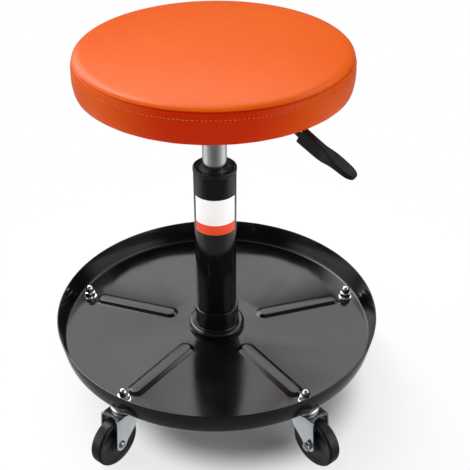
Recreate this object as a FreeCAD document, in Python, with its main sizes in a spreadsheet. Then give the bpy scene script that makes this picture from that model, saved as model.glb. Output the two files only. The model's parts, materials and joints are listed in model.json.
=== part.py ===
import FreeCAD, Part
import math
import os

import Sketcher
from FreeCAD import Placement, Rotation, Vector

# Creeper seat: a round padded seat on a gas lift, over a round tool tray on five swivel casters.
# The origin is on the column's axis, on the floor. +Z is up and -Y is the front.

# Sizes in millimetres; names that end in angle are in degrees
SIZES = {
    # Play between pieces that turn, slide or are slipped together
    "fit_gap": 0.05,
    "cut_overrun": 5.0,
    # Caster as a whole
    "wheel_clearance": 5.0,
    "head_height": 7.5,
    "caster_circle": 360.0,
    "caster_trail": 22.0,
    # Wheel and what it turns on
    "wheel_diameter": 63.5,
    "wheel_width": 15.5,
    "wheel_shoulder": 3.5,
    "wheel_rim": 6.0,
    "wheel_web": 10.5,
    "hub_diameter": 22.0,
    "hub_side_gap": 0.6,
    "bush_diameter": 10.0,
    "bush_side_gap": 0.2,
    "axle_diameter": 6.0,
    "axle_head": 11.0,
    "axle_head_height": 3.2,
    "axle_end": 0.8,
    "axle_nut_width": 10.0,
    "axle_nut_height": 5.0,
    # Fork
    "fork_width": 26.5,
    "fork_sheet": 2.0,
    "fork_tip": 8.0,
    "fork_rake": 4.0,
    "fork_tail": 17.0,
    "fork_skirt": 8.0,
    "fork_waist": 12.0,
    "fork_angle": 32.0,
    "fork_scoop": 4.0,
    "race_ring": 30.0,
    "race_ring_width": 3.0,
    "race_ring_height": 1.5,
    # Fixed top race, stem and its fastening
    "race_diameter": 34.0,
    "race_crown": 18.0,
    "race_sheet": 1.5,
    "race_lip": 2.5,
    "race_height": 5.4,
    "ball_ring_inner": 18.0,
    "ball_ring_outer": 23.6,
    "ball_ring_height": 3.5,
    "stem_diameter": 8.0,
    "stem_head": 14.0,
    "stem_head_height": 3.0,
    "stem_reach": 10.0,
    "washer_diameter": 17.0,
    "washer_thickness": 1.6,
    "nut_width": 13.0,
    "nut_height": 7.0,
    "nut_dome": 10.4,
    "nut_barrel": 4.0,
    "nut_dome_height": 9.5,
    "nut_bore_end": 0.5,
    # Tray
    "tray_diameter": 404.0,
    "tray_depth": 30.0,
    "tray_flare": 4.5,
    "tray_sheet": 1.5,
    "tray_corner": 8.5,
    "rib_start": 54.0,
    "rib_end": 170.0,
    "rib_width": 22.0,
    "rib_height": 2.5,
    "rib_angle": 64.0,
    "hub_plate_diameter": 104.0,
    "hub_plate_thickness": 3.0,
    # Socket that carries the column
    "socket_diameter": 56.0,
    "socket_drop": 12.0,
    "socket_rise": 33.5,
    "collar_diameter": 71.0,
    "collar_height": 7.5,
    "collar_round": 4.5,
    # Column tube
    "column_diameter": 50.0,
    "column_bore": 44.4,
    "column_taper": 1.3,
    "column_drop": 8.0,
    "column_length": 245.5,
    # Bearing at the column's foot
    "disc_inset": 6.0,
    "disc_thickness": 4.0,
    "bearing_diameter": 26.0,
    "bearing_bore": 10.0,
    "bearing_race": 2.0,
    "bearing_balls": 5.0,
    "bump_diameter": 24.0,
    "bump_waist": 2.0,
    "bump_length": 15.0,
    "clip_diameter": 13.0,
    "clip_thickness": 1.2,
    "clip_groove": 0.8,
    # Guide bush at the column's mouth
    "guide_length": 62.0,
    "cap_overhang": 0.5,
    "cap_height": 7.5,
    "cap_rim": 1.8,
    "cap_recess": 3.0,
    "cap_boss": 3.5,
    # Piston rod and piston
    "rod_diameter": 10.0,
    "rod_neck": 8.0,
    "rod_inset": 2.0,
    "rod_length": 202.0,
    "piston_length": 12.0,
    # Pressure tube
    "lift_diameter": 28.0,
    "lift_bore": 25.0,
    "lift_extension": 82.0,
    "lift_length": 246.0,
    "cone_length": 28.0,
    "cone_narrowing": 0.8,
    "rod_guide_length": 13.0,
    "rod_seal_length": 5.0,
    "valve_diameter": 23.0,
    "valve_length": 24.0,
    "valve_shoulder": 2.0,
    "pin_diameter": 7.0,
    "pin_length": 24.0,
    "pin_dome": 2.0,
    # Mechanism under the seat
    "cone_socket_diameter": 34.0,
    "cone_socket_rise": 1.0,
    "bracket_width": 50.0,
    "bracket_length": 90.0,
    "bracket_height": 39.0,
    "bracket_sheet": 2.5,
    "bracket_lift": 13.0,
    "plate_side": 160.0,
    "plate_corner": 14.0,
    "plate_thickness": 3.0,
    "bolt_circle": 168.0,
    "bolt_diameter": 6.0,
    "bolt_head_width": 10.0,
    "bolt_head_height": 4.0,
    "bolt_length": 12.0,
    "bolt_hole": 7.0,
    "tee_flange": 19.0,
    "tee_flange_thickness": 1.3,
    "tee_barrel": 8.0,
    "tee_length": 9.0,
    # Lever
    "pivot_offset": 28.0,
    "pivot_diameter": 4.0,
    "pivot_head": 7.0,
    "pivot_head_height": 1.5,
    "lever_drop": 16.0,
    "lever_rod": 6.0,
    "lever_tip_gap": 0.1,
    "tongue_width": 8.0,
    "tongue_above": 7.0,
    "tongue_back": 6.0,
    "tongue_end": 12.0,
    "pivot_above": 2.0,
    "lever_reach": 94.5,
    "lever_bend": 25.0,
    "lever_angle": 28.5,
    "paddle_start": 20.0,
    "paddle_length": 76.0,
    "paddle_root_width": 9.0,
    "paddle_root_height": 17.0,
    "paddle_root_length": 25.0,
    "paddle_flare": 18.0,
    "paddle_width": 17.0,
    "paddle_thickness": 7.0,
    "paddle_fall": 1.5,
    "paddle_bore_depth": 38.0,
    "paddle_round": 1.2,
    # Seat
    "board_diameter": 292.0,
    "board_thickness": 12.0,
    "side_padding": 1.5,
    "seam_flare": 1.5,
    "shoulder_inset": 9.0,
    "cushion_band": 32.0,
    "cushion_band_bulge": 2.2,
    "cushion_edge_rise": 6.5,
    "cushion_edge_bulge": 2.4,
    "cushion_crown": 8.5,
    "cover_thickness": 1.2,
    "cover_hem": 20.0,
}

CASTER_COUNT = 5
BOLT_COUNT = 4
# Directions seen from above, in degrees from +X towards +Y
FIRST_CASTER_AZIMUTH = 18.0
LEVER_AZIMUTH = -38.5
# How far each caster has swung away from pointing straight outwards, in degrees
CASTER_SWINGS = (34.0, 0.0, -26.0, -2.0, 5.5)
CLIP_SWEEP = 300.0
FULL_TURN = 360.0
NEAR = 1e-4

doc = FreeCAD.newDocument("CreeperSeat")
sheet = doc.addObject("Spreadsheet::Sheet", "Sizes")
for row, (alias, value) in enumerate(SIZES.items(), start=1):
    sheet.set("A%d" % row, alias)
    sheet.set("B%d" % row, str(value))
    sheet.setAlias("B%d" % row, alias)
doc.recompute()


class Size:
    """A length or ratio with its value and its formula in the sheet's names."""

    def __init__(self, value, text):
        self.value = value
        self.text = text

    def __add__(self, other):
        other = as_size(other)
        return Size(self.value + other.value, "(%s + %s)" % (self.text, other.text))

    def __sub__(self, other):
        other = as_size(other)
        return Size(self.value - other.value, "(%s - %s)" % (self.text, other.text))

    def __rsub__(self, other):
        return as_size(other) - self

    def __mul__(self, other):
        other = as_size(other)
        return Size(self.value * other.value, "(%s * %s)" % (self.text, other.text))

    def __truediv__(self, other):
        other = as_size(other)
        return Size(self.value / other.value, "(%s / %s)" % (self.text, other.text))

    def __neg__(self):
        return Size(-self.value, "(-1 * %s)" % self.text)

    __radd__ = __add__
    __rmul__ = __mul__


def as_size(value):
    if isinstance(value, Size):
        return value
    return Size(float(value), "(%r)" % float(value))


def root(size):
    return Size(math.sqrt(size.value), "sqrt(%s)" % size.text)


def cosine(angle):
    return Size(math.cos(math.radians(angle.value)), "cos(%s * 1 deg)" % angle.text)


def sine(angle):
    return Size(math.sin(math.radians(angle.value)), "sin(%s * 1 deg)" % angle.text)


class Sheet:
    """Gives each named size of the sheet as a Size."""

    def __getattr__(self, alias):
        return Size(float(sheet.get(alias)), "Sizes.%s" % alias)


S = Sheet()


def along(distance, azimuth):
    """The point at a distance from the axis, in a direction seen from above."""
    turn = math.radians(azimuth)
    return distance * math.cos(turn), distance * math.sin(turn)


def cap_bulge(radius, rise):
    """How far the arc of a domed top, level at the axis, stands out from its chord."""
    chord = radius * radius + rise * rise
    sphere = chord / (2 * rise)
    return sphere - root(sphere * sphere - chord / 4)


PIECES = []


class Piece:
    """One sub-part: a body of sketches, pads, pockets, turned forms and patterns."""

    def __init__(self, label):
        self.body = doc.addObject("PartDesign::Body", label)
        self.body.Label = label
        self.label = label
        self.count = 0
        PIECES.append(self.body)

    def origin(self, role):
        return next(item for item in self.body.Origin.OriginFeatures if item.Role == role)

    def add(self, kind):
        self.count += 1
        name = "%s_%s_%d" % (self.label, kind.split("::")[1].lower(), self.count)
        return self.body.newObject(kind, name)

    def sketch(self, role, offset=None):
        made = self.add("Sketcher::SketchObject")
        made.AttachmentSupport = (self.origin(role), [""])
        made.MapMode = "FlatFace"
        if offset is not None:
            made.AttachmentOffset = Placement(Vector(0, 0, offset.value), Rotation())
            made.setExpression("AttachmentOffset.Base.z", offset.text)
        return made

    def outline(self, made, corners, closed=True):
        """Draws lines and arcs through (across, up) corners.

        A third value is the height of the arc that leaves the corner, to the right of the travel.
        """
        spots = [(as_size(corner[0]), as_size(corner[1])) for corner in corners]
        bulges = [corner[2] if len(corner) > 2 else None for corner in corners]
        ends = []
        last = len(spots) if closed else len(spots) - 1
        for index in range(last):
            here = spots[index]
            there = spots[(index + 1) % len(spots)]
            ends.append(self.edge(made, here, there, bulges[index]))
        for index, (line, start, finish) in enumerate(ends):
            if index or closed:
                before = ends[index - 1]
                made.addConstraint(Sketcher.Constraint("Coincident", before[0], before[2], line, start))
            self.pin(made, line, start, spots[index])
        if not closed:
            self.pin(made, ends[-1][0], ends[-1][2], spots[-1])
        return made

    def edge(self, made, here, there, bulge):
        start = Vector(here[0].value, here[1].value, 0)
        finish = Vector(there[0].value, there[1].value, 0)
        if bulge is None:
            return made.addGeometry(Part.LineSegment(start, finish), False), 1, 2
        across = there[0] - here[0]
        up = there[1] - here[1]
        size = Size(abs(bulge.value), "abs(%s)" % bulge.text)
        way = 1 if bulge.value > 0 else -1
        radius = (across * across + up * up) / (8 * size) + size / 2
        reach = way * (size - radius) / root(across * across + up * up)
        middle = ((here[0] + there[0]) / 2 + reach * up, (here[1] + there[1]) / 2 - reach * across)
        centre = Vector(middle[0].value, middle[1].value, 0)
        turns = [math.atan2(spot.y - centre.y, spot.x - centre.x) for spot in (start, finish)]
        low, high = turns if way > 0 else reversed(turns)
        if high <= low:
            high += 2 * math.pi
        circle = Part.Circle(centre, Vector(0, 0, 1), radius.value)
        arc = made.addGeometry(Part.ArcOfCircle(circle, low, high), False)
        sideways = abs(up.value) > abs(across.value)
        kind, size = ("DistanceX", middle[0]) if sideways else ("DistanceY", middle[1])
        self.rule(made, Sketcher.Constraint(kind, -1, 1, arc, 3, size.value), size)
        return (arc, 1, 2) if bulge.value > 0 else (arc, 2, 1)

    def rule(self, made, constraint, size):
        index = made.addConstraint(constraint)
        made.setExpression("Constraints[%d]" % index, size.text)

    def pin(self, made, geometry, end, spot):
        for kind, size in (("DistanceX", spot[0]), ("DistanceY", spot[1])):
            self.rule(made, Sketcher.Constraint(kind, -1, 1, geometry, end, size.value), size)

    def circle(self, made, across, up, radius):
        across = as_size(across)
        up = as_size(up)
        ring = Part.Circle(Vector(across.value, up.value, 0), Vector(0, 0, 1), radius.value)
        index = made.addGeometry(ring, False)
        self.rule(made, Sketcher.Constraint("Radius", index, radius.value), radius)
        self.pin(made, index, 3, (across, up))
        return made

    def hexagon(self, made, across, up, width):
        reach = width / math.sqrt(3)
        corners = []
        for step in range(6):
            turn = math.pi * step / 3
            corners.append((across + reach * math.cos(turn), up + reach * math.sin(turn)))
        return self.outline(made, corners)

    def finish(self, feature, made):
        feature.Profile = made
        made.Visibility = False
        self.body.Tip = feature
        doc.recompute()
        self.check(feature)
        return feature

    def check(self, feature):
        if "Invalid" in feature.State or feature.Shape.isNull():
            raise RuntimeError("%s: %s" % (feature.Name, feature.getStatusString()))

    def pad(self, made, length, lean=None, both=False):
        feature = self.add("PartDesign::Pad")
        feature.Length = length.value
        feature.setExpression("Length", length.text)
        if lean is not None:
            feature.TaperAngle = -lean.value
            feature.setExpression("TaperAngle", (-lean).text)
        if both:
            feature.SideType = "Symmetric"
        return self.finish(feature, made)

    def pocket(self, made, length=None, lean=None, both=False, reverse=False):
        before = self.body.Tip.Shape.Volume
        feature = self.add("PartDesign::Pocket")
        if length is None:
            feature.Type = "ThroughAll"
        else:
            feature.Length = length.value
            feature.setExpression("Length", length.text)
        if lean is not None:
            feature.TaperAngle = -lean.value
            feature.setExpression("TaperAngle", (-lean).text)
        if both:
            feature.SideType = "Symmetric"
        feature.Reversed = reverse
        self.finish(feature, made)
        if feature.Shape.Volume >= before:
            raise RuntimeError("%s cuts nothing" % feature.Name)
        return feature

    def turn(self, made, axis="V_Axis", sweep=FULL_TURN):
        feature = self.add("PartDesign::Revolution")
        feature.Profile = made
        feature.ReferenceAxis = (made, [axis])
        feature.Angle = sweep
        return self.finish(feature, made)

    def fillet(self, radius, chosen):
        base = self.body.Tip
        names = []
        for number, edge in enumerate(base.Shape.Edges, start=1):
            if chosen(edge):
                names.append("Edge%d" % number)
        feature = self.add("PartDesign::Fillet")
        feature.Base = (base, names)
        feature.Radius = radius.value
        feature.setExpression("Radius", radius.text)
        self.body.Tip = feature
        doc.recompute()
        return feature

    def repeat(self, features, count):
        pattern = self.add("PartDesign::PolarPattern")
        pattern.Originals = features
        pattern.Axis = (self.origin("Z_Axis"), [""])
        pattern.Angle = FULL_TURN
        pattern.Occurrences = count
        self.body.Tip = pattern
        doc.recompute()
        return pattern

    def place(self, azimuth=0.0, centre=(0, 0, 0), lean=0.0):
        """Turns the piece about Z, after tipping its +X end down by a lean, and moves it."""
        centre = [as_size(size) for size in centre]
        spot = Vector(*[size.value for size in centre])
        turned = Rotation(Vector(0, 0, 1), azimuth) * Rotation(Vector(0, 1, 0), lean)
        self.body.Placement = Placement(spot, turned)
        for name, size in zip("xyz", centre):
            self.body.setExpression("Placement.Base.%s" % name, size.text)
        return self


def ring_at(radius, height):
    """Chooses the circular edges about the Z axis with this radius and height."""

    def chosen(edge):
        curve = edge.Curve
        if not isinstance(curve, Part.Circle):
            return False
        level = abs(curve.Center.z - height.value) < NEAR
        return level and abs(curve.Radius - radius.value) < NEAR

    return chosen


def turned(label, corners, sweep=FULL_TURN):
    """A piece turned about the column's axis from (radius, height) corners."""
    piece = Piece(label)
    piece.turn(piece.outline(piece.sketch("XZ_Plane"), corners), sweep=sweep)
    return piece


def turned_about_y(label, corners):
    """A piece turned about its own Y axis from (radius, along) corners."""
    piece = Piece(label)
    piece.turn(piece.outline(piece.sketch("XY_Plane"), corners))
    return piece


def turned_group(label, offset, corners, count):
    """Pieces turned about upright axes that stand in a ring, offset from the column's axis."""
    piece = Piece(label)
    shifted = [(offset + corner[0],) + tuple(corner[1:]) for corner in corners]
    made = piece.outline(piece.sketch("XZ_Plane"), shifted)
    add_axis(piece, made, offset)
    first = piece.turn(made, axis="Axis0")
    piece.repeat([first], count)
    return piece


def add_axis(piece, made, offset):
    """A construction line in the sketch, on the upright axis at an offset."""
    start = Vector(offset.value, 0, 0)
    line = Part.LineSegment(start, start + Vector(0, S.wheel_diameter.value, 0))
    index = made.addGeometry(line, True)
    piece.pin(made, index, 1, (offset, as_size(0)))
    piece.pin(made, index, 2, (offset, S.wheel_diameter))


# Heights above the floor, from the casters up
axle_height = S.wheel_diameter / 2
fork_top = S.wheel_diameter + S.wheel_clearance + S.fork_sheet
caster_height = fork_top + S.head_height
tray_floor = caster_height + S.tray_sheet
rim_top = caster_height + S.tray_depth
socket_bottom = caster_height - S.socket_drop
socket_top = tray_floor + S.socket_rise
column_bottom = socket_bottom - S.column_drop
column_top = column_bottom + S.column_length
disc_bottom = column_bottom + S.disc_inset
disc_top = disc_bottom + S.disc_thickness
balls_bottom = disc_top + S.bearing_race
balls_top = balls_bottom + S.bearing_balls
bearing_top = balls_top + S.bearing_race
rod_bottom = column_bottom + S.rod_inset
rod_top = rod_bottom + S.rod_length
lift_bottom = column_bottom + S.lift_extension
lift_top = lift_bottom + S.lift_length
cone_bottom = lift_top - S.cone_length
cone_socket_top = lift_top + S.cone_socket_rise
bracket_bottom = cone_bottom + S.bracket_lift
plate_bottom = bracket_bottom + S.bracket_height
board_bottom = plate_bottom + S.plate_thickness
board_top = board_bottom + S.board_thickness
lever_height = plate_bottom - S.lever_drop
cover_bottom = board_bottom - S.cover_thickness
seam_height = cover_bottom + S.cushion_band
shoulder_height = seam_height + S.cushion_edge_rise
crown_height = shoulder_height + S.cushion_crown

stud_radius = S.caster_circle / 2
cushion_foot = S.board_diameter / 2 + S.side_padding


def column_radius(height):
    """Outside radius of the column's tapered foot at a height."""
    share = (socket_top - height) / (socket_top - column_bottom)
    return S.column_diameter / 2 - S.column_taper * share


def cone_radius(height):
    """Outside radius of the pressure tube's cone at a height."""
    return S.lift_diameter / 2 - S.cone_narrowing * (height - cone_bottom) / S.cone_length


def make_tray():
    """Pressed steel tray with a drafted wall and five embossed ribs."""
    rim = S.tray_diameter / 2
    foot = rim - S.tray_flare
    tray = turned("tray", [
        (S.socket_diameter / 2 + S.fit_gap, caster_height),
        (foot, caster_height),
        (rim, rim_top),
        (rim - S.tray_sheet, rim_top),
        (foot - S.tray_sheet, tray_floor),
        (S.socket_diameter / 2 + S.fit_gap, tray_floor),
    ])
    tray.fillet(S.tray_corner + S.tray_sheet, ring_at(foot, caster_height))
    tray.fillet(S.tray_corner, ring_at(foot - S.tray_sheet, tray_floor))
    raised = tray.pad(rib_outline(tray, tray_floor, as_size(0)), S.rib_height, lean=S.rib_angle)
    tray.repeat([raised], CASTER_COUNT)
    sheet_inset = S.tray_sheet * (1 - sine(S.rib_angle)) / cosine(S.rib_angle)
    hollow_sketch = rib_outline(tray, caster_height, sheet_inset)
    hollow = tray.pocket(hollow_sketch, S.rib_height, lean=S.rib_angle, reverse=True)
    tray.repeat([hollow], CASTER_COUNT)
    hole_sketch = tray.sketch("XY_Plane", tray_floor + S.rib_height)
    tray.circle(hole_sketch, stud_radius, 0, S.stem_diameter / 2 + S.fit_gap)
    hole = tray.pocket(hole_sketch)
    tray.repeat([hole], CASTER_COUNT)
    tray.place(FIRST_CASTER_AZIMUTH)


def rib_outline(tray, height, inset):
    """A long round-ended rib that points outwards."""
    half = S.rib_width / 2 - inset
    start = S.rib_start + S.rib_width / 2
    end = S.rib_end - S.rib_width / 2
    return tray.outline(tray.sketch("XY_Plane", height), [
        (start, -half),
        (end, -half, half),
        (end, half),
        (start, half, half),
    ])


def make_socket():
    """Tapered steel socket, its foot collar on the tray and the plate welded below."""
    outer = S.socket_diameter / 2
    turned("column_socket", [
        (column_radius(socket_bottom) + S.fit_gap, socket_bottom),
        (outer, socket_bottom),
        (outer, socket_top),
        (column_radius(socket_top) + S.fit_gap, socket_top),
    ])
    collar = turned("socket_collar", [
        (outer + S.fit_gap, tray_floor),
        (S.collar_diameter / 2, tray_floor),
        (S.collar_diameter / 2, tray_floor + S.collar_height),
        (outer + S.fit_gap, tray_floor + S.collar_height),
    ])
    collar.fillet(S.collar_round, ring_at(S.collar_diameter / 2, tray_floor + S.collar_height))
    turned("hub_plate", [
        (outer + S.fit_gap, caster_height - S.hub_plate_thickness),
        (S.hub_plate_diameter / 2, caster_height - S.hub_plate_thickness),
        (S.hub_plate_diameter / 2, caster_height),
        (outer + S.fit_gap, caster_height),
    ])


def make_column():
    """Outer tube of the gas lift, with the guide bush in its mouth."""
    bore = S.column_bore / 2
    turned("column_tube", [
        (bore, column_bottom),
        (column_radius(column_bottom), column_bottom),
        (S.column_diameter / 2, socket_top),
        (S.column_diameter / 2, column_top),
        (bore, column_top),
    ])
    slide = S.lift_diameter / 2 + S.fit_gap
    cap_top = column_top + S.cap_height
    boss = slide + S.cap_boss
    cap = S.column_diameter / 2 + S.cap_overhang
    turned("guide_bush", [
        (slide, column_top - S.guide_length),
        (bore - S.fit_gap, column_top - S.guide_length),
        (bore - S.fit_gap, column_top),
        (cap, column_top),
        (cap, cap_top),
        (cap - S.cap_rim, cap_top),
        (cap - S.cap_rim, cap_top - S.cap_recess),
        (boss, cap_top - S.cap_recess),
        (boss - S.cap_rim, cap_top),
        (slide, cap_top),
    ])


def make_bearing():
    """Foot disc, thrust bearing, bump stop and the clip that holds the rod."""
    neck = S.rod_neck / 2 + S.fit_gap
    inner = S.bearing_bore / 2
    outer = S.bearing_diameter / 2
    turned("foot_disc", box_section(neck, S.column_bore / 2 - S.fit_gap, disc_bottom, disc_top))
    turned("lower_race", box_section(inner, outer, disc_top, balls_bottom))
    cage = box_section(inner + S.bearing_race, outer - S.bearing_race, balls_bottom, balls_top)
    turned("ball_cage", cage)
    turned("upper_race", box_section(neck, outer, balls_top, bearing_top))
    rod = S.rod_diameter / 2 + S.fit_gap
    bump = S.bump_diameter / 2
    middle = bearing_top + S.bump_length / 2
    turned("bump_stop", [
        (rod, bearing_top),
        (bump, bearing_top),
        (bump - S.bump_waist, middle),
        (bump, bearing_top + S.bump_length),
        (rod, bearing_top + S.bump_length),
    ])
    groove = S.rod_neck / 2 - S.clip_groove
    clip_bottom = rod_bottom + S.rod_inset
    clip = (clip_bottom + S.fit_gap, clip_bottom + S.clip_thickness - S.fit_gap)
    turned("rod_clip", box_section(groove + S.fit_gap, S.clip_diameter / 2, *clip), CLIP_SWEEP)


def box_section(inner, outer, low, high):
    return [(inner, low), (outer, low), (outer, high), (inner, high)]


def make_rod():
    """Piston rod, necked at both ends, and its piston."""
    neck = S.rod_neck / 2
    full = S.rod_diameter / 2
    groove = neck - S.clip_groove
    clip_bottom = rod_bottom + S.rod_inset
    shoulder = rod_top - S.piston_length
    turned("piston_rod", [
        (0, rod_bottom),
        (neck, rod_bottom),
        (neck, clip_bottom),
        (groove, clip_bottom),
        (groove, clip_bottom + S.clip_thickness),
        (neck, clip_bottom + S.clip_thickness),
        (neck, bearing_top),
        (full, bearing_top),
        (full, shoulder),
        (neck, shoulder),
        (neck, rod_top),
        (0, rod_top),
    ])
    ring = S.lift_bore / 2 - S.fit_gap
    turned("piston", box_section(neck + S.fit_gap, ring, shoulder, rod_top))


def make_lift():
    """Pressure tube with its rod guide, seal, valve and release pin."""
    bore = S.lift_bore / 2
    valve = S.valve_diameter / 2
    valve_bottom = lift_top - S.valve_length
    turned("pressure_tube", [
        (bore, lift_bottom),
        (S.lift_diameter / 2, lift_bottom),
        (S.lift_diameter / 2, cone_bottom),
        (cone_radius(lift_top), lift_top),
        (valve, lift_top),
        (valve, valve_bottom - S.valve_shoulder),
        (bore, valve_bottom - S.valve_shoulder),
    ])
    rod = S.rod_diameter / 2 + S.fit_gap
    guide_top = lift_bottom + S.rod_guide_length
    seal_top = guide_top + S.rod_seal_length
    turned("rod_guide", box_section(rod, bore - S.fit_gap, lift_bottom, guide_top))
    turned("rod_seal", box_section(rod, bore - S.fit_gap, guide_top, seal_top))
    pin = S.pin_diameter / 2
    turned("valve_body", box_section(pin + S.fit_gap, valve - S.fit_gap, valve_bottom, lift_top))
    pin_top = lever_height - S.lever_rod / 2 - S.lever_tip_gap
    shoulder = pin_top - S.pin_dome
    turned("release_pin", [
        (0, pin_top - S.pin_length),
        (pin, pin_top - S.pin_length),
        (pin, shoulder, cap_bulge(pin, S.pin_dome)),
        (0, pin_top),
    ])


def make_mechanism():
    """Cone socket, channel, mounting plate and pivot pin, square to the lever."""
    outer = S.cone_socket_diameter / 2
    turned("cone_socket", [
        (cone_radius(cone_bottom) + S.fit_gap, cone_bottom),
        (outer, cone_bottom),
        (outer, cone_socket_top),
        (cone_radius(cone_socket_top) + S.fit_gap, cone_socket_top),
    ])
    channel = Piece("lift_bracket")
    wide = S.bracket_width / 2
    inside = wide - S.bracket_sheet
    floor = bracket_bottom + S.bracket_sheet
    section = channel.outline(channel.sketch("YZ_Plane"), [
        (-wide, bracket_bottom),
        (wide, bracket_bottom),
        (wide, plate_bottom),
        (inside, plate_bottom),
        (inside, floor),
        (-inside, floor),
        (-inside, plate_bottom),
        (-wide, plate_bottom),
    ])
    channel.pad(section, S.bracket_length, both=True)
    hole = channel.circle(channel.sketch("XY_Plane", floor), 0, 0, outer + S.fit_gap)
    channel.pocket(hole)
    pivot = lever_height + S.pivot_above
    bore = S.pivot_diameter / 2 + S.fit_gap
    channel.pocket(channel.circle(channel.sketch("XZ_Plane"), S.pivot_offset, pivot, bore), both=True)
    channel.place(LEVER_AZIMUTH)
    make_seat_plate()
    x, y = along(S.pivot_offset, LEVER_AZIMUTH)
    head = wide + S.pivot_head_height
    pin = turned_about_y("lever_pivot_pin", [
        (0, -head),
        (S.pivot_diameter / 2, -head),
        (S.pivot_diameter / 2, wide),
        (S.pivot_head / 2, wide),
        (S.pivot_head / 2, head),
        (0, head),
    ])
    pin.place(LEVER_AZIMUTH, (x, y, pivot))


def make_seat_plate():
    """Square steel plate that bolts the mechanism to the seat board."""
    plate = Piece("seat_plate")
    half = S.plate_side / 2
    inner = half - S.plate_corner
    bulge = S.plate_corner * (1 - math.sqrt(0.5))
    made = plate.outline(plate.sketch("XY_Plane", plate_bottom), [
        (-inner, -half),
        (inner, -half, bulge),
        (half, -inner),
        (half, inner, bulge),
        (inner, half),
        (-inner, half, bulge),
        (-half, inner),
        (-half, -inner, bulge),
    ])
    plate.pad(made, S.plate_thickness)
    spread = S.bolt_circle / 2 * math.sqrt(0.5)
    holes = plate.sketch("XY_Plane", board_bottom)
    for side in (-1, 1):
        for end in (-1, 1):
            plate.circle(holes, spread * side, spread * end, S.bolt_hole / 2)
    plate.pocket(holes)
    plate.place(LEVER_AZIMUTH)


def make_seat_fasteners():
    """Four hexagon bolts and the flanged nuts that they reach in the board."""
    turn = LEVER_AZIMUTH + FULL_TURN / BOLT_COUNT / 2
    offset = S.bolt_circle / 2
    bolts = Piece("seat_bolts")
    head_sketch = bolts.sketch("XY_Plane", plate_bottom - S.bolt_head_height)
    head = bolts.pad(bolts.hexagon(head_sketch, offset, as_size(0), S.bolt_head_width),
                     S.bolt_head_height)
    shank_sketch = bolts.sketch("XY_Plane", plate_bottom)
    shank = bolts.pad(bolts.circle(shank_sketch, offset, 0, S.bolt_diameter / 2), S.bolt_length)
    bolts.repeat([head, shank], BOLT_COUNT)
    bolts.place(turn)
    bore = S.bolt_diameter / 2 + S.fit_gap
    under = board_top - S.tee_flange_thickness
    tees = turned_group("tee_nuts", offset, [
        (bore, board_top - S.tee_length),
        (S.tee_barrel / 2, board_top - S.tee_length),
        (S.tee_barrel / 2, under),
        (S.tee_flange / 2, under),
        (S.tee_flange / 2, board_top),
        (bore, board_top),
    ], BOLT_COUNT)
    tees.place(turn)


def make_lever():
    """Bent rod with a flat tongue over the release pin, and the moulded paddle."""
    lever = Piece("lever_rod")
    radius = S.lever_rod / 2
    bend = S.lever_bend * sine(S.lever_angle / 2) / cosine(S.lever_angle / 2)
    run = S.paddle_start + S.paddle_bore_depth - S.fit_gap
    fall = sine(S.lever_angle)
    level = cosine(S.lever_angle)
    tongue_start = S.pivot_offset + S.tongue_end
    path = lever.outline(lever.sketch("XZ_Plane"), [
        (tongue_start - S.tongue_above, lever_height),
        (S.lever_reach - bend, lever_height, -(S.lever_bend * (1 - cosine(S.lever_angle / 2)))),
        (S.lever_reach + bend * level, lever_height - bend * fall),
        (S.lever_reach + run * level, lever_height - run * fall),
    ], closed=False)
    ring = lever.circle(lever.sketch("YZ_Plane", tongue_start - S.tongue_above), 0, lever_height, radius)
    pipe = lever.add("PartDesign::AdditivePipe")
    pipe.Spine = path
    lever.finish(pipe, ring)
    path.Visibility = False
    tongue = lever.outline(lever.sketch("XZ_Plane"), [
        (-S.tongue_back, lever_height - radius),
        (tongue_start, lever_height - radius),
        (tongue_start, lever_height + radius),
        (S.pivot_offset + S.tongue_above, lever_height + S.tongue_above),
        (S.pivot_offset - S.tongue_above, lever_height + S.tongue_above),
        (-S.tongue_back, lever_height + radius),
    ])
    lever.pad(tongue, S.tongue_width, both=True)
    pivot = lever_height + S.pivot_above
    bore = S.pivot_diameter / 2 + S.fit_gap
    lever.pocket(lever.circle(lever.sketch("XZ_Plane"), S.pivot_offset, pivot, bore), both=True)
    lever.place(LEVER_AZIMUTH)
    make_paddle(level, fall)


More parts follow.
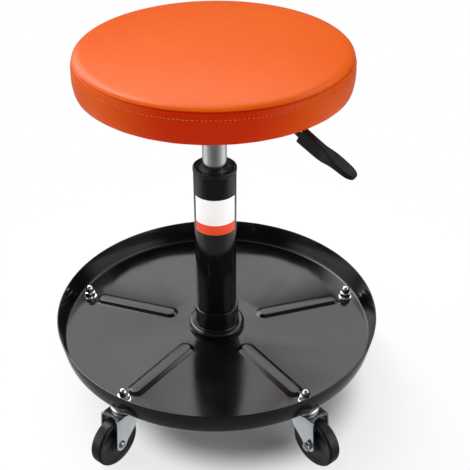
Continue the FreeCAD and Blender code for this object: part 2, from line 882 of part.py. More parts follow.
def make_paddle(level, fall):
    """Plastic paddle: a tall narrow root that flattens into a wide rounded blade."""
    paddle = Piece("lever_paddle")
    root_half = S.paddle_root_width / 2
    blade_half = S.paddle_width / 2
    flare_end = S.paddle_root_length + S.paddle_flare
    tip = S.paddle_length - blade_half
    plan = paddle.outline(paddle.sketch("XY_Plane"), [
        (0, -root_half),
        (S.paddle_root_length, -root_half),
        (flare_end, -blade_half),
        (tip, -blade_half, blade_half),
        (tip, blade_half),
        (flare_end, blade_half),
        (S.paddle_root_length, root_half),
        (0, root_half),
    ])
    paddle.pad(plan, S.paddle_root_height * 2, both=True)
    top = S.paddle_root_height / 2
    blade_top = top - S.paddle_fall
    far = S.paddle_length + S.cut_overrun
    high = S.paddle_root_height + S.cut_overrun
    above = paddle.outline(paddle.sketch("XZ_Plane"), [
        (-S.cut_overrun, top),
        (0, top),
        (far, blade_top),
        (far, high),
        (-S.cut_overrun, high),
    ])
    paddle.pocket(above, both=True)
    blade_bottom = blade_top - S.paddle_thickness
    below = paddle.outline(paddle.sketch("XZ_Plane"), [
        (-S.cut_overrun, -high),
        (far, -high),
        (far, blade_bottom),
        (flare_end, blade_bottom),
        (S.paddle_root_length, -top),
        (-S.cut_overrun, -top),
    ])
    paddle.pocket(below, both=True)
    paddle.fillet(S.paddle_round, long_edge(S.paddle_root_length))
    bore = S.lever_rod / 2 + S.fit_gap
    mouth = paddle.circle(paddle.sketch("YZ_Plane"), 0, 0, bore)
    paddle.pocket(mouth, S.paddle_bore_depth, reverse=True)
    reach = S.lever_reach + S.paddle_start * level
    x, y = along(reach, LEVER_AZIMUTH)
    paddle.place(LEVER_AZIMUTH, (x, y, lever_height - S.paddle_start * fall), S.lever_angle.value)


def long_edge(length):
    """Chooses the edges that run lengthwise beside the top and bottom faces."""

    def chosen(edge):
        box = edge.BoundBox
        return box.XLength > box.ZLength and box.XLength > length.value / 4

    return chosen


def cushion_path(inset):
    """The cushion's outside, drawn in by an inset, from its lower edge to the crown."""
    bottom = cushion_foot - inset
    seam = bottom + S.seam_flare
    shoulder = seam - S.shoulder_inset
    crown = crown_height - shoulder_height
    return [
        (bottom, cover_bottom + inset, S.cushion_band_bulge),
        (seam, seam_height, S.cushion_edge_bulge),
        (shoulder, shoulder_height - inset, cap_bulge(shoulder, crown)),
        (0, crown_height - inset),
    ]


def make_seat():
    """Plywood board, foam and the sewn cover that wraps under the board."""
    board = turned("seat_board", box_section(as_size(0), S.board_diameter / 2, board_bottom, board_top))
    offset = S.bolt_circle / 2
    wide = board.sketch("XY_Plane", board_top)
    board.circle(wide, offset, 0, S.tee_flange / 2 + S.fit_gap)
    recess = board.pocket(wide, S.tee_flange_thickness)
    board.repeat([recess], BOLT_COUNT)
    narrow = board.circle(board.sketch("XY_Plane", board_top), offset, 0, S.tee_barrel / 2 + S.fit_gap)
    bore = board.pocket(narrow)
    board.repeat([bore], BOLT_COUNT)
    board.place(LEVER_AZIMUTH + FULL_TURN / BOLT_COUNT / 2)
    edge = S.board_diameter / 2 + S.fit_gap
    turned("seat_foam", cushion_path(S.cover_thickness) + [
        (0, board_top),
        (edge, board_top),
        (edge, board_bottom),
    ])
    inner = cushion_path(S.cover_thickness)
    back = [(0, crown_height - S.cover_thickness, -cap_bulge(inner[2][0], inner[3][1] - inner[2][1]))]
    back += [(inner[2][0], inner[2][1], -inner[1][2])]
    back += [(inner[1][0], inner[1][1], -inner[0][2])]
    back += [(inner[0][0], board_bottom)]
    hem = cushion_foot - S.cover_hem
    turned("seat_cover", cushion_path(as_size(0)) + back + [(hem, board_bottom), (hem, cover_bottom)])


def make_stud_hardware():
    """Fixed races, stems, washers and domed nuts: one ring of five of each."""
    stem = S.stem_diameter / 2
    bore = stem + S.fit_gap
    washer_top = tray_floor + S.washer_thickness
    head_top = fork_top - S.fork_sheet - S.fit_gap
    stem_top = washer_top + S.stem_reach
    turned_group("caster_stems", stud_radius, [
        (as_size(0), head_top - S.stem_head_height),
        (S.stem_head / 2, head_top - S.stem_head_height),
        (S.stem_head / 2, head_top),
        (stem, head_top),
        (stem, stem_top),
        (as_size(0), stem_top),
    ], CASTER_COUNT).place(FIRST_CASTER_AZIMUTH)
    crown = S.race_crown / 2
    rim = S.race_diameter / 2
    rim_bottom = caster_height - S.race_height
    shoulder = rim_bottom + S.race_lip
    dome = (caster_height - shoulder) / 4
    turned_group("caster_races", stud_radius, [
        (bore, caster_height - S.race_sheet),
        (crown - S.race_sheet, caster_height - S.race_sheet, -dome),
        (rim - S.race_sheet, shoulder - S.race_sheet),
        (rim - S.race_sheet, rim_bottom),
        (rim, rim_bottom),
        (rim, shoulder, dome),
        (crown, caster_height),
        (bore, caster_height),
    ], CASTER_COUNT).place(FIRST_CASTER_AZIMUTH)
    ring_bottom = fork_top + S.fit_gap
    turned_group("ball_rings", stud_radius, box_section(
        S.ball_ring_inner / 2, S.ball_ring_outer / 2, ring_bottom, ring_bottom + S.ball_ring_height,
    ), CASTER_COUNT).place(FIRST_CASTER_AZIMUTH)
    turned_group("stud_washers", stud_radius, box_section(
        bore, S.washer_diameter / 2, tray_floor, washer_top,
    ), CASTER_COUNT).place(FIRST_CASTER_AZIMUTH)
    nuts = Piece("dome_nuts")
    made = nuts.sketch("XY_Plane", washer_top)
    nuts.hexagon(made, stud_radius, as_size(0), S.nut_width)
    nuts.circle(made, stud_radius, 0, bore)
    flats = nuts.pad(made, S.nut_height)
    flats_top = washer_top + S.nut_height
    ceiling = stem_top + S.nut_bore_end
    crown_rise = S.nut_dome_height - S.nut_barrel
    cap = nuts.outline(nuts.sketch("XZ_Plane"), [
        (stud_radius + bore, flats_top),
        (stud_radius + S.nut_dome / 2, flats_top),
        (stud_radius + S.nut_dome / 2, flats_top + S.nut_barrel, cap_bulge(S.nut_dome / 2, crown_rise)),
        (stud_radius, flats_top + S.nut_dome_height),
        (stud_radius, ceiling),
        (stud_radius + bore, ceiling),
    ])
    add_axis(nuts, cap, stud_radius)
    dome_turn = nuts.turn(cap, axis="Axis0")
    nuts.repeat([flats, dome_turn], CASTER_COUNT)
    nuts.place(FIRST_CASTER_AZIMUTH)


def make_fork(label, azimuth, spot):
    """Pressed fork: a round top over the stem that narrows into two legs with round tips."""
    fork = Piece(label)
    front = S.caster_trail + S.fork_tip
    nose = front - S.fork_rake
    low = axle_height - S.fork_tip
    block = fork.outline(fork.sketch("XY_Plane", low), fork_plan(as_size(0), front))
    fork.pad(block, fork_top - low)
    ceiling = fork_top - S.fork_sheet
    hollow = fork_plan(S.fork_sheet, front + S.cut_overrun)
    fork.pocket(fork.outline(fork.sketch("XY_Plane", ceiling), hollow))
    back = S.caster_trail - S.fork_tip * cosine(S.fork_angle)
    back_height = axle_height - S.fork_tip * sine(S.fork_angle)
    skirt = fork_top - S.fork_skirt
    slant = (skirt - back_height) * sine(S.fork_angle) / cosine(S.fork_angle)
    tail = -S.fork_tail - S.cut_overrun
    deep = low - S.cut_overrun
    high = fork_top + S.cut_overrun
    set_back = S.fork_rake * (high - axle_height) / (fork_top - axle_height)
    trim = fork.outline(fork.sketch("XZ_Plane"), [
        (front, axle_height, leg_bulge(S.fork_tip, S.fork_angle)),
        (back, back_height),
        (back - slant, skirt),
        (tail, skirt),
        (tail, deep),
        (front + S.cut_overrun, deep),
        (front + S.cut_overrun, high),
        (front - set_back, high),
    ])
    fork.pocket(trim, both=True)
    ring = fork.sketch("XY_Plane", fork_top)
    fork.circle(ring, 0, 0, S.race_ring / 2)
    fork.circle(ring, 0, 0, S.race_ring / 2 - S.race_ring_width)
    fork.pad(ring, S.race_ring_height)
    inside = S.fork_width / 2 - S.fork_sheet
    scoop = (inside * inside + S.fork_scoop * S.fork_scoop) / (2 * S.fork_scoop)
    above = fork.sketch("XY_Plane", fork_top + S.race_ring_height)
    fork.circle(above, nose - S.fork_scoop + scoop, 0, scoop)
    fork.pocket(above, S.race_ring_height + S.fork_sheet)
    stem = fork.sketch("XY_Plane", fork_top + S.race_ring_height)
    fork.pocket(fork.circle(stem, 0, 0, S.stem_diameter / 2 + S.fit_gap))
    bore = S.axle_diameter / 2 + S.fit_gap
    side = fork.circle(fork.sketch("XZ_Plane"), S.caster_trail, axle_height, bore)
    fork.pocket(side, both=True)
    fork.place(azimuth, spot)


def fork_plan(inset, nose):
    """The fork seen from above: straight legs, a waist and a round back about the stem."""
    narrow = S.fork_width / 2 - inset
    wide = S.fork_tail - inset
    return [
        (nose, -narrow),
        (nose, narrow),
        (S.fork_waist, narrow),
        (0, wide, wide),
        (0, -wide),
        (S.fork_waist, -narrow),
    ]


def leg_bulge(radius, lean):
    """Height of the arc under a leg's tip, from its front edge to its leaning back edge."""
    half_sweep = as_size(90) - lean / 2
    return -(radius * (1 - cosine(half_sweep)))


def make_caster(number, azimuth, swing):
    """Fork, wheel, bush, axle and nut of one caster."""
    stud_x, stud_y = along(stud_radius, azimuth)
    heading = azimuth + swing
    label = "caster_%d_" % number
    make_fork(label + "fork", heading, (stud_x, stud_y, 0))
    trail_x, trail_y = along(S.caster_trail, heading)
    centre = (stud_x + trail_x, stud_y + trail_y, axle_height)
    inside = S.fork_width / 2 - S.fork_sheet
    bush = S.bush_diameter / 2
    axle = S.axle_diameter / 2
    hub_half = inside - S.hub_side_gap
    web_half = S.wheel_web / 2
    tread_half = S.wheel_width / 2
    tread = S.wheel_diameter / 2
    rim = tread - S.wheel_rim
    web = rim - S.wheel_shoulder / 2
    wheel = turned_about_y(label + "wheel", [
        (bush + S.fit_gap, -hub_half),
        (S.hub_diameter / 2, -hub_half),
        (S.hub_diameter / 2, -web_half),
        (web, -web_half),
        (rim, -tread_half),
        (tread - S.wheel_shoulder, -tread_half, S.wheel_shoulder * (1 - math.sqrt(0.5))),
        (tread, S.wheel_shoulder - tread_half),
        (tread, tread_half - S.wheel_shoulder, S.wheel_shoulder * (1 - math.sqrt(0.5))),
        (tread - S.wheel_shoulder, tread_half),
        (rim, tread_half),
        (web, web_half),
        (S.hub_diameter / 2, web_half),
        (S.hub_diameter / 2, hub_half),
        (bush + S.fit_gap, hub_half),
    ])
    wheel.place(heading, centre)
    bush_half = inside - S.bush_side_gap
    sleeve = box_section(axle + S.fit_gap, bush, -bush_half, bush_half)
    turned_about_y(label + "bush", sleeve).place(heading, centre)
    outside = S.fork_width / 2
    nut_end = outside + S.axle_nut_height
    bolt = turned_about_y(label + "axle", [
        (0, -nut_end - S.axle_end),
        (axle, -nut_end - S.axle_end),
        (axle, outside),
        (S.axle_head / 2, outside, cap_bulge(S.axle_head / 2, S.axle_head_height)),
        (0, outside + S.axle_head_height),
    ])
    bolt.place(heading, centre)
    nut = Piece(label + "axle_nut")
    made = nut.sketch("XZ_Plane", outside)
    nut.hexagon(made, as_size(0), as_size(0), S.axle_nut_width)
    nut.circle(made, 0, 0, axle + S.fit_gap)
    nut.pad(made, S.axle_nut_height)
    nut.place(heading, centre)


def check_and_write():
    """Stops on any failed object or shape, then writes one file for each sub-part."""
    doc.recompute()
    for item in doc.Objects:
        if "Invalid" in item.State or "Error" in item.State:
            raise RuntimeError("%s: %s" % (item.Name, item.State))
    for body in PIECES:
        shape = body.Shape
        if shape.isNull() or not shape.isValid() or not shape.Solids:
            raise RuntimeError("%s has no valid solid" % body.Label)
    os.makedirs("parts", exist_ok=True)
    for body in PIECES:
        body.Shape.exportStep("parts/%s.step" % body.Label)
    print("%d sub-parts written" % len(PIECES))


make_tray()
make_socket()
make_column()
make_bearing()
make_rod()
make_lift()
make_mechanism()
make_seat_fasteners()
make_lever()
make_seat()
make_stud_hardware()
for place_number in range(CASTER_COUNT):
    caster_azimuth = FIRST_CASTER_AZIMUTH + place_number * FULL_TURN / CASTER_COUNT
    make_caster(place_number + 1, caster_azimuth, CASTER_SWINGS[place_number])
check_and_write()
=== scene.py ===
"""Dresses a creeper seat: a round padded seat on a gas lift, over a tool tray on five swivel casters.

Metres, +Z up, the origin on the floor under the column, -Y the front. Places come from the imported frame.
"""

import enum
import json
import logging
import math
from dataclasses import dataclass, field
from typing import Optional, Sequence

import bmesh
import bpy
from mathutils import Matrix, Vector

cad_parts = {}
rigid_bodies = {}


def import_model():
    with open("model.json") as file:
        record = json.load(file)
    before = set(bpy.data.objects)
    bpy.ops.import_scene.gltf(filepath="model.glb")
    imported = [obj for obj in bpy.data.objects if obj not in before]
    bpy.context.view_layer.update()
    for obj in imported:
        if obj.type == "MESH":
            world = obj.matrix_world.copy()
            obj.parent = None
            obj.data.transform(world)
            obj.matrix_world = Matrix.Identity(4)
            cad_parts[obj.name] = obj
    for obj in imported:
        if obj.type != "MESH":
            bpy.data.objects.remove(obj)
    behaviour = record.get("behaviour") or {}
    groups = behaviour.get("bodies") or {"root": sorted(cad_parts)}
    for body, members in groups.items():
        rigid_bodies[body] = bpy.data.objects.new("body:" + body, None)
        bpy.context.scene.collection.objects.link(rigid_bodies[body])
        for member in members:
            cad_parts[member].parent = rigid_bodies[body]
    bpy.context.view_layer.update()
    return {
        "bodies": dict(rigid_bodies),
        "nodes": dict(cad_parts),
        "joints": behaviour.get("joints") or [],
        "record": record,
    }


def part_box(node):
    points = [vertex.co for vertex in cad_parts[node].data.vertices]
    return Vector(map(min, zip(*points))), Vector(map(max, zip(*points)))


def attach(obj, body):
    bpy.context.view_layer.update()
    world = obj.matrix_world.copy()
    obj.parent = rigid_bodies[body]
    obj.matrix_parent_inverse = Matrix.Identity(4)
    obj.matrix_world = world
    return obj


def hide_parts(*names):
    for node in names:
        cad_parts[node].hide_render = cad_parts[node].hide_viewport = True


MM = 0.001
FULL_TURN = 2.0 * math.pi
MERGE = 0.002 * MM
WHITE = (1.0, 1.0, 1.0, 1.0)
LOG = logging.getLogger("creeper_seat")

Point = tuple[float, float]
Triple = tuple[float, float, float]
Colour = tuple[float, float, float, float]
Stops = tuple[Point, ...]
Tree = bpy.types.NodeTree
Socket = bpy.types.NodeSocket
Mesh = bmesh.types.BMesh
Edges = list[bmesh.types.BMEdge]
Verts = list[bmesh.types.BMVert]


def linear(code: str) -> Colour:
    """Turns an sRGB hex colour into linear light.

    Args:
        code: The colour as "#rrggbb".

    Returns:
        Red, green, blue and an alpha of one.
    """
    channels = [int(code[start:start + 2], 16) / 255.0 for start in (1, 3, 5)]
    light = [c / 12.92 if c <= 0.04045 else ((c + 0.055) / 1.055) ** 2.4 for c in channels]
    return light[0], light[1], light[2], 1.0


def sized(where: Socket, size_mm: float, **more: float) -> dict[str, object]:
    """The inputs of a pattern whose features have a size in millimetres, on Object coordinates."""
    return {"Vector": where, "Scale": 1.0 / (size_mm * MM), **more}


def put(tree: Tree, socket: Socket, value: object) -> None:
    """Feeds an input socket from an output, or sets its value."""
    if isinstance(value, bpy.types.NodeSocket):
        tree.links.new(value, socket)
    else:
        socket.default_value = value


def add_node(
    tree: Tree, kind: str, inputs: Optional[dict] = None, output: str = "", **settings: object
) -> Socket:
    """Adds one shader node.

    Args:
        tree: The material's node tree.
        kind: The node's type name after "ShaderNode".
        inputs: The value or the output socket for each input, by its name or index.
        output: The output's name, or nothing for the first one in use.
        settings: The node's own properties.

    Returns:
        The node's output socket.
    """
    node = tree.nodes.new("ShaderNode" + kind)
    for key, value in settings.items():
        setattr(node, key, value)
    for key, value in (inputs or {}).items():
        put(tree, node.inputs[key], value)
    if output:
        return node.outputs[output]
    return next(socket for socket in node.outputs if socket.enabled)


class Slot(enum.Enum):
    """The record's material slots that the scene uses."""

    COATING = "black_coating"
    ZINC = "zinc_plate"
    CHROME = "chrome_plate"
    STEEL = "plain_steel"
    OXIDE = "oxide_steel"
    BUSH = "bush_plastic"
    LEVER = "lever_plastic"
    NYLON = "pale_plastic"
    WHEEL = "wheel_rubber"
    SEAL = "seal_rubber"
    VINYL = "seat_vinyl"
    PLYWOOD = "plywood"


@dataclass(frozen=True)
class Finish:
    """What every finish has: a name, the record's slot, two colours and a way to paint its nodes."""

    name: str
    slot: Slot
    deep: str
    pale: str

    def material(self) -> bpy.types.Material:
        """The material, made at its first use."""
        made = bpy.data.materials.get(self.name)
        if made is None:
            made = bpy.data.materials.new(self.name)
            made.use_nodes = True
            tree = made.node_tree
            feeds = self.paint(tree, add_node(tree, "TexCoord", output="Object"))
            if "tone" in feeds:
                tones = {0: feeds.pop("tone"), 6: linear(self.deep), 7: linear(self.pale)}
                feeds["Base Color"] = add_node(tree, "Mix", tones, data_type="RGBA")
            if "relief" in feeds:
                height, depth_mm = feeds.pop("relief")
                feeds["Normal"] = add_node(tree, "Bump", {"Height": height, "Distance": depth_mm * MM})
            for name, value in feeds.items():
                put(tree, tree.nodes["Principled BSDF"].inputs[name], value)
        return made

    def paint(self, tree: Tree, where: Socket) -> dict[str, object]:
        """Adds the finish's own nodes.

        Args:
            tree: The material's node tree.
            where: Object coordinates.

        Returns:
            What feeds each of the shader's inputs that it changes. "tone" goes from the deep colour to
            the pale one, and "relief" is a bump's height with its depth in millimetres.
        """
        raise NotImplementedError


@dataclass(frozen=True)
class PowderCoat(Finish):
    """Baked powder or stoved enamel on steel: an even film with a faint orange peel."""

    deep: str = "#070708"
    pale: str = "#0d0d0e"
    roughness: float = 0.15
    uneven: float = 0.035
    peel_mm: float = 2.4
    peel_depth_mm: float = 0.012
    haze_mm: float = 38.0
    scuff_mm: float = 0.8
    scuff_turn: float = 0.7
    scuff_along: Triple = (1.0, 0.03, 0.4)

    def paint(self, tree: Tree, where: Socket) -> dict[str, object]:
        """Cloudy gloss, fine scuffs in the film and the peel as bump."""
        # the film flows as it bakes, so the peel is broad and very shallow
        peel = add_node(tree, "TexNoise", sized(where, self.peel_mm, Detail=1.0))
        haze = add_node(tree, "TexNoise", sized(where, self.haze_mm, Detail=5.0))
        drawn = {"Vector": where, "Rotation": (0.0, 0.0, self.scuff_turn), "Scale": self.scuff_along}
        scuff = add_node(tree, "TexNoise", sized(add_node(tree, "Mapping", drawn), self.scuff_mm, Detail=2.0))
        worn = {"Value": scuff, "From Min": 0.62, "From Max": 0.8, "To Max": self.uneven}
        lines = add_node(tree, "MapRange", worn)
        limits = {"To Min": self.roughness - self.uneven, "To Max": self.roughness + self.uneven}
        cloud = add_node(tree, "MapRange", {"Value": haze, "From Min": 0.3, "From Max": 0.7, **limits})
        return {
            "tone": haze,
            "relief": (peel, self.peel_depth_mm),
            "Roughness": add_node(tree, "Math", {0: cloud, 1: lines}, operation="ADD"),
            "IOR": 1.5,
        }


@dataclass(frozen=True)
class Plate(Finish):
    """Metal plate or bare metal: bright zinc, chrome, oiled steel."""

    deep: str = "#a9afb6"
    pale: str = "#d5d9dd"
    roughness: float = 0.2
    uneven: float = 0.08
    cloud_mm: float = 9.0
    streak_mm: float = 0.5
    streak_along: Triple = (1.0, 1.0, 0.05)
    streak_depth_mm: float = 0.004

    def paint(self, tree: Tree, where: Socket) -> dict[str, object]:
        """Clouded plate with fine drawing or polishing marks."""
        cloud = add_node(tree, "TexNoise", sized(where, self.cloud_mm, Detail=4.0))
        drawn = add_node(tree, "Mapping", {"Vector": where, "Scale": self.streak_along})
        streak = add_node(tree, "TexNoise", sized(drawn, self.streak_mm, Detail=3.0))
        mixed = add_node(tree, "Math", {0: cloud, 1: streak}, operation="MULTIPLY")
        limits = {"To Min": self.roughness - self.uneven, "To Max": self.roughness + self.uneven}
        gloss = {"Value": mixed, "From Min": 0.12, "From Max": 0.42, **limits}
        return {
            "tone": cloud,
            "relief": (streak, self.streak_depth_mm),
            "Roughness": add_node(tree, "MapRange", gloss),
            "Metallic": 1.0,
        }


@dataclass(frozen=True)
class Vinyl(Finish):
    """Coated upholstery vinyl, embossed by a roller with a leather grain."""

    deep: str = "#d95504"
    pale: str = "#e25f06"
    # painted shade for the grain's valleys
    valley_shade: str = "#b03802"
    valley_shade_share: float = 0.22
    # painted shade for the front of the side band and painted light for its sides
    front_shade_tint: str = "#f08224"
    side_light_tint: str = "#fff056"
    side_below: float = 0.4452
    side_light_start: float = 0.03
    side_light_end: float = 0.12
    roughness: float = 0.2
    valley_roughness: float = 0.32
    specular: float = 0.17
    side_specular: float = 0.08
    grain_mm: float = 2.0
    grain_bend: float = 0.0012
    grain_depth_mm: float = 0.035
    pull_mm: float = 60.0

    def paint(self, tree: Tree, where: Socket) -> dict[str, object]:
        """Pebbles with painted shade in their valleys, a slow change where the sheet is stretched, and
        painted shade and light on the side band.
        """
        # the real grain is about 1 mm; it is drawn twice as coarse so that it shows
        warp = add_node(tree, "TexNoise", sized(where, self.grain_mm * 2, Detail=2.0), "Color")
        bent = add_node(tree, "Mix", {0: self.grain_bend, 4: where, 5: warp}, data_type="VECTOR")
        pebble = add_node(tree, "TexVoronoi", sized(bent, self.grain_mm), feature="DISTANCE_TO_EDGE")
        dome = add_node(tree, "MapRange", {"Value": pebble, "From Max": 0.22})
        pull = add_node(tree, "TexNoise", sized(where, self.pull_mm, Detail=3.0))
        sheet = add_node(tree, "Mix", {0: pull, 6: linear(self.deep), 7: linear(self.pale)}, data_type="RGBA")
        # painted shade deepens the side band most in front, and painted light makes it lighter and yellower
        # towards its sides
        height = add_node(tree, "SeparateXYZ", {0: where}, "Z")
        side = add_node(tree, "Math", {0: height, 1: self.side_below}, operation="LESS_THAN")
        across = add_node(tree, "SeparateXYZ", {0: where}, "X")
        across = add_node(tree, "Math", {0: across}, operation="ABSOLUTE")
        run = {"Value": across, "From Min": self.side_light_start, "From Max": self.side_light_end}
        turned = add_node(tree, "MapRange", run, interpolation_type="SMOOTHSTEP")
        shade_and_light_tints = {0: turned, 6: linear(self.front_shade_tint), 7: linear(self.side_light_tint)}
        band = add_node(tree, "Mix", shade_and_light_tints, data_type="RGBA")
        cut = add_node(tree, "Mix", {0: side, 6: sheet, 7: band}, data_type="RGBA", blend_type="MULTIPLY")
        # painted shade: the grain's valleys are mixed towards the darker colour
        shade = add_node(tree, "MapRange", {"Value": dome, "To Min": self.valley_shade_share, "To Max": 0.0})
        base = add_node(tree, "Mix", {0: shade, 6: cut, 7: linear(self.valley_shade)}, data_type="RGBA")
        dull = {"Value": dome, "To Min": self.valley_roughness, "To Max": self.roughness}
        shine = {"Value": side, "To Min": self.specular, "To Max": self.side_specular}
        return {
            "Base Color": base,
            "relief": (dome, self.grain_depth_mm),
            "Roughness": add_node(tree, "MapRange", dull),
            "Specular IOR Level": add_node(tree, "MapRange", shine),
            "IOR": 1.49,
        }


@dataclass(frozen=True)
class Moulded(Finish):
    """Injection-moulded plastic or rubber with a spark-eroded or satin tool surface."""

    deep: str = "#101011"
    pale: str = "#19191b"
    roughness: float = 0.45
    grain_mm: float = 0.9
    grain_depth_mm: float = 0.03
    flow_mm: float = 16.0
    smoother: float = 0.07
    rougher: float = 0.09
    ior: float = 1.5
    specular: float = 0.5

    def paint(self, tree: Tree, where: Socket) -> dict[str, object]:
        """Fine pitted grain over slow flow marks."""
        grain = add_node(tree, "TexNoise", sized(where, self.grain_mm, Detail=4.0))
        flow = add_node(tree, "TexNoise", sized(where, self.flow_mm, Detail=3.0, Distortion=0.6))
        limits = {"To Min": self.roughness - self.smoother, "To Max": self.roughness + self.rougher}
        gloss = {"Value": flow, "From Min": 0.3, "From Max": 0.7, **limits}
        return {
            "tone": flow,
            "relief": (grain, self.grain_depth_mm),
            "Roughness": add_node(tree, "MapRange", gloss),
            "IOR": self.ior,
            "Specular IOR Level": self.specular,
        }


@dataclass(frozen=True)
class Plywood(Finish):
    """Sanded birch plywood: long grain on the faces and thin plies on the edge."""

    deep: str = "#a97c4c"
    pale: str = "#d3ad7b"
    ring_mm: float = 42.0
    fibre_mm: float = 0.7
    fibre_depth_mm: float = 0.05
    ply_mm: float = 9.0
    ply_share: float = 0.25

    def paint(self, tree: Tree, where: Socket) -> dict[str, object]:
        """Wavy rings, fibres along X and darker glue lines between the plies."""
        along = add_node(tree, "Mapping", {"Vector": where, "Scale": (0.06, 1.0, 1.0)})
        waves = {**sized(along, self.ring_mm, Distortion=7.0, Detail=3.0), "Detail Scale": 1.5}
        rings = add_node(tree, "TexWave", waves, "Fac", bands_direction="Y")
        fibre = add_node(tree, "TexNoise", sized(along, self.fibre_mm, Detail=3.0))
        layers = sized(where, self.ply_mm, Distortion=0.3)
        plies = add_node(tree, "TexWave", layers, "Fac", bands_direction="Z")
        mixed = add_node(tree, "Mix", {0: 0.4, 2: rings, 3: fibre}, data_type="FLOAT")
        banded = add_node(tree, "Mix", {0: self.ply_share, 2: mixed, 3: plies}, data_type="FLOAT")
        return {
            "tone": banded,
            "relief": (fibre, self.fibre_depth_mm),
            "Roughness": 0.62,
        }


@dataclass(frozen=True)
class Thread(Finish):
    """Bonded polyester sewing thread, twisted from three plies."""

    deep: str = "#c24c16"
    pale: str = "#ee8048"
    twist_mm: float = 4.2
    twist_depth_mm: float = 0.05

    def paint(self, tree: Tree, where: Socket) -> dict[str, object]:
        """Fine diagonal bands for the twist, with painted shade in its grooves."""
        bands = sized(where, self.twist_mm, Distortion=0.4)
        twist = add_node(tree, "TexWave", bands, "Fac", bands_direction="DIAGONAL")
        # painted shade: the deep colour falls in the twist's grooves
        return {
            "tone": twist,
            "relief": (twist, self.twist_depth_mm),
            "Roughness": 0.5,
            "Sheen Weight": 0.2,
        }


@dataclass(frozen=True)
class PrintedLabel(Finish):
    """Laminated paper label: a white field over a solid band of ink, printed in dots."""

    deep: str = "#c8c5bf"
    pale: str = "#f6f4f1"
    band: str = "#e8441a"
    band_top: float = 0.0
    # strength of the label's painted glow
    painted_glow: float = 0.36
    dot_mm: float = 0.6
    dot_depth_mm: float = 0.01
    edge_mm: float = 0.05

    def paint(self, tree: Tree, where: Socket) -> dict[str, object]:
        """The band is set by height, and both inks are a little uneven."""
        height = add_node(tree, "SeparateXYZ", {0: where}, "Z")
        ink = add_node(tree, "TexNoise", sized(where, self.dot_mm, Detail=2.0))
        edge = add_node(tree, "Math", {0: ink, 1: self.edge_mm * MM, 2: height}, operation="MULTIPLY_ADD")
        below = add_node(tree, "Math", {0: edge, 1: self.band_top}, operation="LESS_THAN")
        shades = {0: 0.5, 6: linear(self.pale), 7: linear(self.deep)}
        uneven = add_node(tree, "Mix", shades, data_type="RGBA")
        spots = add_node(tree, "MapRange", {"Value": ink, "From Min": 0.55, "From Max": 0.8, "To Max": 0.12})
        paper = add_node(tree, "Mix", {0: spots, 6: linear(self.pale), 7: uneven}, data_type="RGBA")
        tint = add_node(tree, "Mix", {0: below, 6: paper, 7: linear(self.band)}, data_type="RGBA")
        # painted glow: the paper and its ink give off a little light of their own, which lifts the label
        # towards white
        return {
            "Base Color": tint,
            "Emission Color": tint,
            "Emission Strength": self.painted_glow,
            "relief": (ink, self.dot_depth_mm),
            "Roughness": 0.3,
            "Coat Weight": 0.25,
        }


